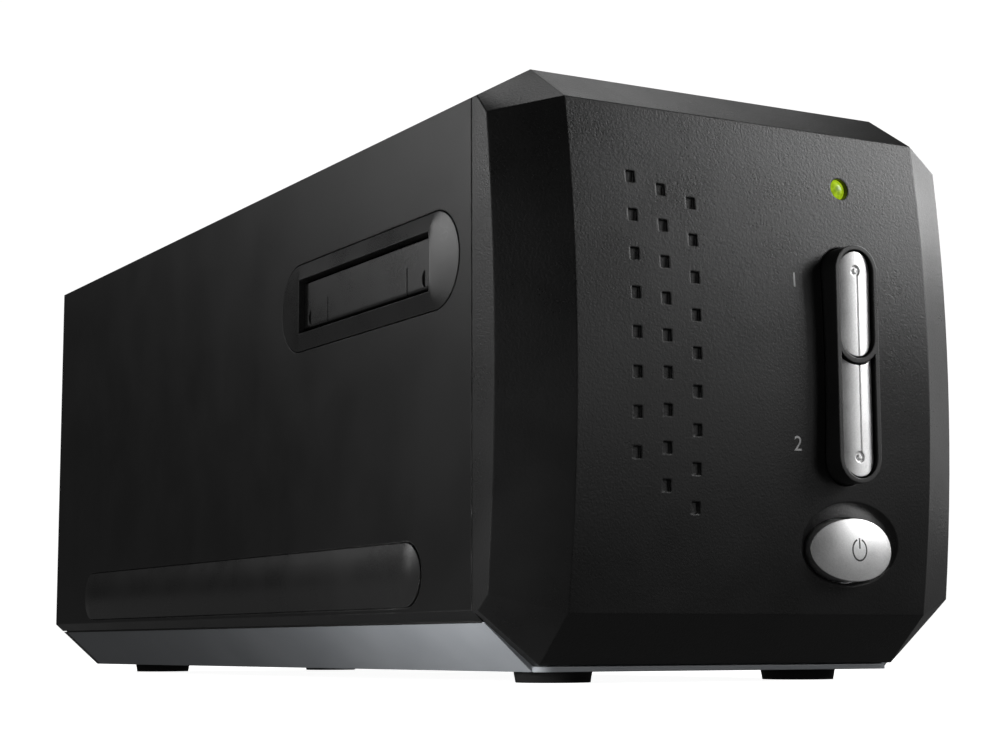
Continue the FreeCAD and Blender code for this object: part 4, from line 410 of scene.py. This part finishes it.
# The standby sign on the power key: an open ring and a bar

SIGN_CENTRE_SHIFT = 0.6
SIGN_RADIUS = 1.75
SIGN_RADIUS_UP = 2.1
SIGN_WIDTH = 0.34
SIGN_GAP = math.radians(38)
SIGN_STEPS = 40
SIGN_LIFT = 0.012
SIGN_BAR_TOP_SHARE = 1.12
SIGN_BAR_STEPS = 8


def make_power_sign():
    low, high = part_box("power_button")
    centre = Vector(((low.x + high.x) / 2 + SIGN_CENTRE_SHIFT * MM, (low.z + high.z) / 2))
    ring = []
    for i in range(SIGN_STEPS + 1):
        angle = math.pi / 2 + SIGN_GAP / 2 + (2 * math.pi - SIGN_GAP) * i / SIGN_STEPS
        ring.append(centre + Vector((SIGN_RADIUS * math.cos(angle), SIGN_RADIUS_UP * math.sin(angle))) * MM)
    bar = []
    for i in range(SIGN_BAR_STEPS + 1):
        bar.append(centre + Vector((0, SIGN_RADIUS_UP * MM * (SIGN_BAR_TOP_SHARE - i / SIGN_BAR_STEPS))))
    skin = skin_of("power_button")
    made = bmesh.new()
    for line in (ring, bar):
        lefts, rights = ribbon_points(line, SIGN_WIDTH * MM)
        left_verts = [made.verts.new(p) for p in lay_on_front(lefts, skin, SIGN_LIFT * MM)]
        right_verts = [made.verts.new(p) for p in lay_on_front(rights, skin, SIGN_LIFT * MM)]
        for i in range(len(line) - 1):
            made.faces.new((left_verts[i], left_verts[i + 1], right_verts[i + 1], right_verts[i]))
    bmesh.ops.recalc_face_normals(made, faces=made.faces)
    # Thin dark lines laid on the dome of the key stand for the engraved sign.
    marking = moulded("sign_dark_lines", grey(0.05), grey(0.08), (0.5, 0.6), 0.15, 0.004, 0.02)
    new_piece("standby_sign", made, marking.material, "power_key")


# Plain numerals beside the two scan keys

NUMERAL_SIZE = 4.2
NUMERAL_X = 8.6
NUMERAL_FROM_END = 7.0
NUMERAL_LIFT = 0.03
NUMERAL_LONGEST_EDGE = 0.8


def make_numerals():
    skin = skin_of("front_bezel")
    marking = moulded("numeral_ink", grey(0.82), grey(0.9), (0.5, 0.6), 0.2, 0.003, 0.02)
    heights = {"1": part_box("scan_button_upper")[1].z - NUMERAL_FROM_END * MM,
               "2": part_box("scan_button_lower")[0].z + NUMERAL_FROM_END * MM}
    for text, height in heights.items():
        curve = bpy.data.curves.new(f"numeral_curve_{text}", "FONT")
        curve.body = text
        curve.size = NUMERAL_SIZE * MM
        curve.align_x = "CENTER"
        curve.align_y = "CENTER"
        curve.fill_mode = "FRONT"
        curve.resolution_u = 8
        holder = bpy.data.objects.new(f"numeral_holder_{text}", curve)
        bpy.context.scene.collection.objects.link(holder)
        bpy.context.view_layer.update()
        flat = bpy.data.meshes.new_from_object(holder.evaluated_get(bpy.context.evaluated_depsgraph_get()))
        bpy.data.objects.remove(holder)
        made = bmesh.new()
        made.from_mesh(flat)
        bmesh.ops.triangulate(made, faces=made.faces)
        long_edges = [e for e in made.edges if e.calc_length() > NUMERAL_LONGEST_EDGE * MM]
        bmesh.ops.subdivide_edges(made, edges=long_edges, cuts=2)
        spots = [(NUMERAL_X * MM + v.co.x, height + v.co.y) for v in made.verts]
        for vert, spot in zip(made.verts, lay_on_front(spots, skin, NUMERAL_LIFT * MM)):
            vert.co = spot
        new_piece(f"key_numeral_{text}", made, marking.material, "chassis")


# Screws: a domed head with a cross recess on a threaded shank, standing for the plain solids

SCREW_NODES = ("rear_panel_screws", "bezel_screws", "frame_screws", "main_board_screws",
               "button_board_screws")
SCREW_HEAD_RADIUS = 2.6
SCREW_HEAD_HEIGHT = 1.4
SCREW_SHANK_RADIUS = 1.3
SCREW_HEAD_STEPS = 28
SCREW_FIRST_TURN = 0.35
SCREW_NEXT_TURN = 1.1
SCREW_EDGE_ANGLE = 35
RECESS_HALF_WIDTH_SHARE = 0.15
RECESS_REACH_SHARE = 0.58
RECESS_DEPTH_SHARE = 0.7
RECESS_RISE_SHARE = 0.45
SCREW_PITCH_SHARE = 0.7
SCREW_ROOT_SHARE = 0.78


def islands(node):
    """Boxes (low, high) of the separate solids of a carried-over node."""
    made = bmesh.new()
    made.from_mesh(frame["nodes"][node].data)
    bmesh.ops.remove_doubles(made, verts=made.verts, dist=1e-6)
    seen, boxes = set(), []
    for start in made.verts:
        if start in seen:
            continue
        group, queue = [], [start]
        seen.add(start)
        while queue:
            vert = queue.pop()
            group.append(vert.co)
            for edge in vert.link_edges:
                other = edge.other_vert(vert)
                if other not in seen:
                    seen.add(other)
                    queue.append(other)
        low = Vector(min(c[i] for c in group) for i in range(3))
        high = Vector(max(c[i] for c in group) for i in range(3))
        boxes.append((low, high))
    made.free()
    return boxes


def screw_mesh(radius, head_height, length, shank_radius):
    """One screw standing on +Z: head's top at zero, shank below, with a cross recess in the head."""
    made = bmesh.new()
    levels = [(0.0, 0.0), (0.35, 0.0), (0.7, 0.05), (0.9, 0.22), (1.0, 0.5), (1.0, 1.0)]
    reach = RECESS_REACH_SHARE * radius
    half = RECESS_HALF_WIDTH_SHARE * radius
    deep = head_height * RECESS_DEPTH_SHARE
    steps = SCREW_HEAD_STEPS
    rows = []
    for i in range(steps + 1):
        row = []
        for j in range(steps + 1):
            u, v = 2 * i / steps - 1, 2 * j / steps - 1
            x = u * math.sqrt(1 - v * v / 2) * radius
            y = v * math.sqrt(1 - u * u / 2) * radius
            away = math.hypot(x, y) / radius
            z = 0.0
            for (r0, d0), (r1, d1) in zip(levels, levels[1:]):
                if r0 <= away <= r1 and r1 > r0:
                    z = -(d0 + (d1 - d0) * (away - r0) / (r1 - r0)) * head_height
            long_side, short_side = max(abs(x), abs(y)), min(abs(x), abs(y))
            inside = min((reach - long_side) / (0.12 * radius), (half - short_side) / (0.06 * radius))
            z -= deep * min(max(inside, 0), 1) * (1 - RECESS_RISE_SHARE * long_side / reach)
            row.append(made.verts.new((x, y, z)))
        rows.append(row)
    for i in range(steps):
        for j in range(steps):
            made.faces.new((rows[i][j], rows[i + 1][j], rows[i + 1][j + 1], rows[i][j + 1]))
    rim = [rows[i][0] for i in range(steps)] + [rows[steps][j] for j in range(steps)]
    rim += [rows[steps - i][steps] for i in range(steps)] + [rows[0][steps - j] for j in range(steps)]
    rings = [(radius, -head_height), (shank_radius, -head_height)]
    pitch = shank_radius * SCREW_PITCH_SHARE
    turns = int((length - shank_radius) / pitch)
    for i in range(turns):
        start = -head_height - pitch * i
        rings += [(shank_radius, start - pitch * 0.1), (shank_radius * SCREW_ROOT_SHARE, start - pitch * 0.5),
                  (shank_radius, start - pitch * 0.9)]
    tip = -head_height - length
    rings += [(shank_radius * 0.9, tip + shank_radius * 0.6), (0.02 * MM, tip)]
    last = rim
    for ring_radius, z in rings:
        ring = []
        for vert in rim:
            away = math.hypot(vert.co.x, vert.co.y)
            ring.append(made.verts.new((vert.co.x / away * ring_radius, vert.co.y / away * ring_radius, z)))
        for k in range(len(rim)):
            n = (k + 1) % len(rim)
            made.faces.new((last[k], last[n], ring[n], ring[k]))
        last = ring
    made.faces.new(last)
    bmesh.ops.recalc_face_normals(made, faces=made.faces)
    return made


def make_screws(finishes, node, head_radius, head_height, shank_radius):
    """Detailed screws in place of a node of plain ones, each in its own solid's box."""
    whole = bmesh.new()
    for number, (low, high) in enumerate(islands(node)):
        size = high - low
        axis = max(range(3), key=lambda i: size[i])
        heads_high = head_at_high_end(node, low, high, axis, head_radius)
        outward = Vector((0, 0, 0))
        outward[axis] = 1 if heads_high else -1
        top = (low + high) / 2
        top[axis] = high[axis] if heads_high else low[axis]
        one = screw_mesh(head_radius, head_height, size[axis] - head_height, shank_radius)
        spin = Matrix.Rotation(SCREW_FIRST_TURN + SCREW_NEXT_TURN * number, 4, "Z")
        turn = outward.to_track_quat("Z", "Y").to_matrix().to_4x4()
        one.transform(Matrix.Translation(top) @ turn @ spin)
        keeper = bpy.data.meshes.new("screw_keeper")
        one.to_mesh(keeper)
        one.free()
        whole.from_mesh(keeper)
        bpy.data.meshes.remove(keeper)
    for face in whole.faces:
        face.smooth = True
    piece = new_piece(f"{node}_detailed", whole, finishes["screw_steel"].material,
                      frame["nodes"][node]["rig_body"])
    edge_split(piece, SCREW_EDGE_ANGLE)
    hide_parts(node)


def head_at_high_end(node, low, high, axis, head_radius):
    """True if the head of the screw in this box is at its high end."""
    others = [i for i in range(3) if i != axis]
    centre = (low + high) / 2
    middle = centre[axis]
    for vert in frame["nodes"][node].data.vertices:
        inside = all(low[i] - MM * 0.01 <= vert.co[i] <= high[i] + MM * 0.01 for i in range(3))
        if not inside:
            continue
        away = math.hypot(*(vert.co[i] - centre[i] for i in others))
        if away > 0.9 * head_radius:
            return vert.co[axis] > middle
    return True


def edge_split(piece, angle):
    """Sharp shading where faces meet at more than angle degrees."""
    modifier = piece.modifiers.new("sharp_edges", "EDGE_SPLIT")
    modifier.split_angle = math.radians(angle)


# Seals: a rubber cord in the joint of cover and base, on each side

SEAL_RADIUS = 0.3
SEAL_INSET = 0.75
SEAL_DROP = 0.125
SEAL_TAPER = 0.4
SEAL_FRONT_ROOM = 0.3
SEAL_REAR_ROOM = 0.1
SEAL_SIDES = 12


def make_cover_seals(finishes):
    """A thin rubber cord on each side, in the joint between the cover's edge and the base."""
    base_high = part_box("base_tray")[1]
    cover_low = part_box("top_cover")[0]
    front = cover_low.y + SEAL_FRONT_ROOM * MM
    rear = base_high.y - SEAL_REAR_ROOM * MM
    stations = ((front, 0.5), (front + SEAL_TAPER * MM, 1), (rear - SEAL_TAPER * MM, 1), (rear, 0.5))
    for name, side in (("left", -1), ("right", 1)):
        middle_x = side * (base_high.x - SEAL_INSET * MM)
        middle_z = cover_low.z - SEAL_DROP * MM
        cord = bmesh.new()
        rings = []
        for y, share in stations:
            radius = SEAL_RADIUS * MM * share
            ring = []
            for i in range(SEAL_SIDES):
                turn = 2 * math.pi * i / SEAL_SIDES
                ring.append(cord.verts.new((middle_x + radius * math.cos(turn), y,
                                            middle_z + radius * math.sin(turn))))
            rings.append(ring)
        for near, far in zip(rings, rings[1:]):
            for i in range(SEAL_SIDES):
                j = (i + 1) % SEAL_SIDES
                cord.faces.new((near[i], near[j], far[j], far[i]))
        cord.faces.new(rings[0])
        cord.faces.new(list(reversed(rings[-1])))
        bmesh.ops.recalc_face_normals(cord, faces=cord.faces)
        new_piece(f"cover_seal_{name}", cord, finishes["rubber"].material, "chassis")


# Lead screw: a threaded rod in place of the plain one

THREAD_PITCH = 2.5
THREAD_STEPS = 24
THREAD_ROOT_SHARE = 0.78
THREAD_END_ROOM = 0.2


def make_lead_screw(finishes):
    low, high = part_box("lead_screw")
    centre = (low + high) / 2
    outer = (high.x - low.x) / 2
    root_radius = outer * THREAD_ROOT_SHARE
    made = bmesh.new()
    profile = [(0.0, root_radius), (0.2, root_radius), (0.35, outer), (0.65, outer), (0.8, root_radius)]
    turns = int((high.y - low.y) / (THREAD_PITCH * MM)) - 1
    start = low.y + ((high.y - low.y) - turns * THREAD_PITCH * MM) / 2
    first_y, last_y = low.y + THREAD_END_ROOM * MM, high.y - THREAD_END_ROOM * MM
    previous = None
    for step in range(turns * THREAD_STEPS + 1):
        angle = 2 * math.pi * step / THREAD_STEPS
        base = start + THREAD_PITCH * MM * (step / THREAD_STEPS - 0.5)
        ring = []
        for share, radius in profile:
            y = min(max(base + share * THREAD_PITCH * MM, first_y), last_y)
            ring.append(made.verts.new((centre.x + radius * math.cos(angle), y,
                                        centre.z + radius * math.sin(angle))))
        if previous:
            for k in range(len(ring) - 1):
                made.faces.new((previous[k], previous[k + 1], ring[k + 1], ring[k]))
        previous = ring
    core = bmesh.ops.create_cone(made, cap_ends=True, segments=32, radius1=root_radius, radius2=root_radius,
                                 depth=high.y - low.y)
    bmesh.ops.transform(made, verts=core["verts"],
                        matrix=Matrix.Translation(centre) @ Matrix.Rotation(math.pi / 2, 4, "X"))
    bmesh.ops.recalc_face_normals(made, faces=made.faces)
    piece = new_piece("lead_screw_threaded", made, finishes["rod_steel"].material,
                      frame["nodes"]["lead_screw"]["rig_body"])
    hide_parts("lead_screw")


# Stage: a pale floor that glows with painted light, a white surround that only the camera sees, a dim room
# and soft lights

FLOOR_RADIUS = 5.7
FLOOR_SEGMENTS = 96
FLOOR_DEPTH = 0.05
FLOOR_GLOW_NEAR = 0.95
FLOOR_GLOW_FAR = 1.04
FLOOR_REACH_NEAR = 0.25
FLOOR_REACH_FAR = 1.6
MIRRORED_FLOOR_DEPTH = 0.06
MIRRORED_FLOOR_GLOW = 0.07
SURROUND_RADIUS = 5.8
SURROUND_GLOW = 1.05
ROOM_BRIGHTNESS = 0.03


def make_stage():
    # The floor's glow is painted light: dimmer near the scanner, where the lamps light it, and brighter far
    # off, where it meets the surround.
    floor = floor_paint("floor_paint", grey(0.8), grey(0.84))
    away = floor.node("ShaderNodeVectorMath")
    away.operation = "LENGTH"
    floor.link(floor.place, away.inputs[0])
    glow = floor.spread(away.outputs["Value"], FLOOR_GLOW_NEAR, FLOOR_GLOW_FAR, FLOOR_REACH_NEAR,
                        FLOOR_REACH_FAR)
    floor.link(glow, floor.shader.inputs["Emission Strength"])
    hide_from(floor_disc("floor", floor, FLOOR_DEPTH), "glossy", "diffuse")
    mirrored = floor_paint("mirrored_floor_paint", grey(0.10), grey(0.12))
    mirrored.set(emission_strength=MIRRORED_FLOOR_GLOW)
    mirrored_disc = floor_disc("mirrored_floor", mirrored, MIRRORED_FLOOR_DEPTH)
    hide_from(mirrored_disc, "camera", "diffuse", "transmission", "shadow")
    dome_mesh = bmesh.new()
    bmesh.ops.create_icosphere(dome_mesh, subdivisions=4, radius=SURROUND_RADIUS)
    white = Finish("surround_light")
    glow = white.node("ShaderNodeEmission")
    glow.inputs["Strength"].default_value = SURROUND_GLOW
    tint = white.between(white.spread(white.noise(0.5), 0, 1), grey(0.99), grey(1.0))
    white.link(tint, glow.inputs["Color"])
    output = [n for n in white.tree.nodes if n.type == "OUTPUT_MATERIAL"][0]
    white.link(glow.outputs["Emission"], output.inputs["Surface"])
    dome = stage_object("surround", dome_mesh, white.material)
    hide_from(dome, "diffuse", "glossy", "transmission", "shadow")


def floor_paint(name, dark, light):
    paint = moulded(name, dark, light, (0.6, 0.7), 2.0, 0.01, 0.1, specular=0.2)
    paint.set(emission_color=(1, 1, 1, 1))
    return paint


def floor_disc(name, paint, depth):
    """A disc of the floor, depth millimetres under zero."""
    disc_mesh = bmesh.new()
    bmesh.ops.create_circle(disc_mesh, cap_ends=True, segments=FLOOR_SEGMENTS, radius=FLOOR_RADIUS)
    disc = stage_object(name, disc_mesh, paint.material)
    disc.location.z = -depth * MM
    return disc


def hide_from(thing, *rays):
    """Leaves a thing of the stage out of the named kinds of rays."""
    for ray in rays:
        setattr(thing, f"visible_{ray}", False)


def stage_object(name, mesh_data, material):
    mesh = bpy.data.meshes.new(name)
    mesh_data.to_mesh(mesh)
    mesh_data.free()
    mesh.materials.append(material)
    made = bpy.data.objects.new(name, mesh)
    bpy.context.scene.collection.objects.link(made)
    return made


LIGHT_AIM = mm(0, -100, 60)


def soft_light(name, round_to, above, distance, size, radiance, aim=LIGHT_AIM):
    """A rectangular soft light, round_to degrees from the front towards the right and above degrees up."""
    turn, rise = math.radians(round_to), math.radians(above)
    away = Vector((math.sin(turn) * math.cos(rise), -math.cos(turn) * math.cos(rise), math.sin(rise)))
    data = bpy.data.lights.new(name, "AREA")
    data.shape = "RECTANGLE"
    data.size, data.size_y = size
    data.energy = radiance * math.pi * size[0] * size[1]
    light = bpy.data.objects.new(name, data)
    bpy.context.scene.collection.objects.link(light)
    light.location = aim + away * distance
    light.rotation_mode = "QUATERNION"
    light.rotation_quaternion = away.to_track_quat("Z", "Y")
    light.visible_camera = False
    return light


# Each soft light: degrees round from the front, degrees up, metres away, width and height in metres, radiance

LIGHTS = {
    "key_light": (58, 26, 1.0, (0.44, 0.42), 8.6),
    "front_fill_light": (33, 10, 1.0, (0.3, 0.4), 0.6),
    "front_low_light": (30, -8, 1.0, (0.3, 0.3), 0.45),
    "right_front_light": (74, 12, 1.0, (0.3, 0.3), 1.8),
    "left_fill_light": (-60, 15, 1.0, (0.3, 0.3), 1.9),
    "left_edge_light": (-106, 16, 1.0, (0.12, 0.3), 2.6),
    "right_edge_light": (112, 22, 1.0, (0.3, 0.3), 3.0),
    "right_low_light": (102, 8, 1.0, (0.3, 0.3), 0.7),
    "rear_right_light": (140, 40, 1.0, (0.3, 0.3), 0.5),
    "overhead_light": (158, 75, 1.0, (0.32, 0.32), 1.7),
    "rear_left_light": (218, 18, 1.0, (0.2, 0.2), 3.0),
    "rear_left_low_light": (224, 9, 1.0, (0.2, 0.2), 1.0),
    "rear_fill_light": (156, 26, 1.2, (0.6, 0.6), 1.2),
}
FLAGGED_LIGHTS = ("key_light", "right_front_light")
FLAGGED_NODES = ("top_cover", "film_gate_right", "side_pad_right", "dust_door_right", "rear_panel")
LOW_LIGHT = (-95, 1, 0.09, (0.06, 0.02), 36.0)
LOW_LIGHT_AIM = mm(-50, -125, 8)


def flag():
    """The nodes that the lights from the right are kept off, as a flag beside a lamp would."""
    flagged = bpy.data.collections.new("flagged_from_the_right")
    for node in FLAGGED_NODES:
        flagged.objects.link(frame["nodes"][node])
    for entry in flagged.collection_objects:
        entry.light_linking.link_state = "EXCLUDE"
    return flagged


def make_lights():
    world = bpy.data.worlds.new("room")
    bpy.context.scene.world = world
    world.use_nodes = True
    backdrop = world.node_tree.nodes["Background"]
    backdrop.inputs["Color"].default_value = (1, 1, 1, 1)
    backdrop.inputs["Strength"].default_value = ROOM_BRIGHTNESS
    flagged = flag()
    for name, values in LIGHTS.items():
        light = soft_light(name, *values)
        if name in FLAGGED_LIGHTS:
            light.light_linking.receiver_collection = flagged
    low = soft_light("low_left_light", *LOW_LIGHT, aim=LOW_LIGHT_AIM)
    low.visible_glossy = False


def set_view():
    settings = bpy.context.scene.view_settings
    settings.view_transform = "Standard"
    settings.look = "None"
    settings.exposure = 0
    settings.gamma = 1


make_camera()
FINISHES = make_finishes()
dress_nodes(FINISHES)
make_power_sign()
make_numerals()
for screw_node in SCREW_NODES:
    make_screws(FINISHES, screw_node, SCREW_HEAD_RADIUS * MM, SCREW_HEAD_HEIGHT * MM, SCREW_SHANK_RADIUS * MM)
make_lead_screw(FINISHES)
make_cover_seals(FINISHES)
make_stage()
make_lights()
set_view()
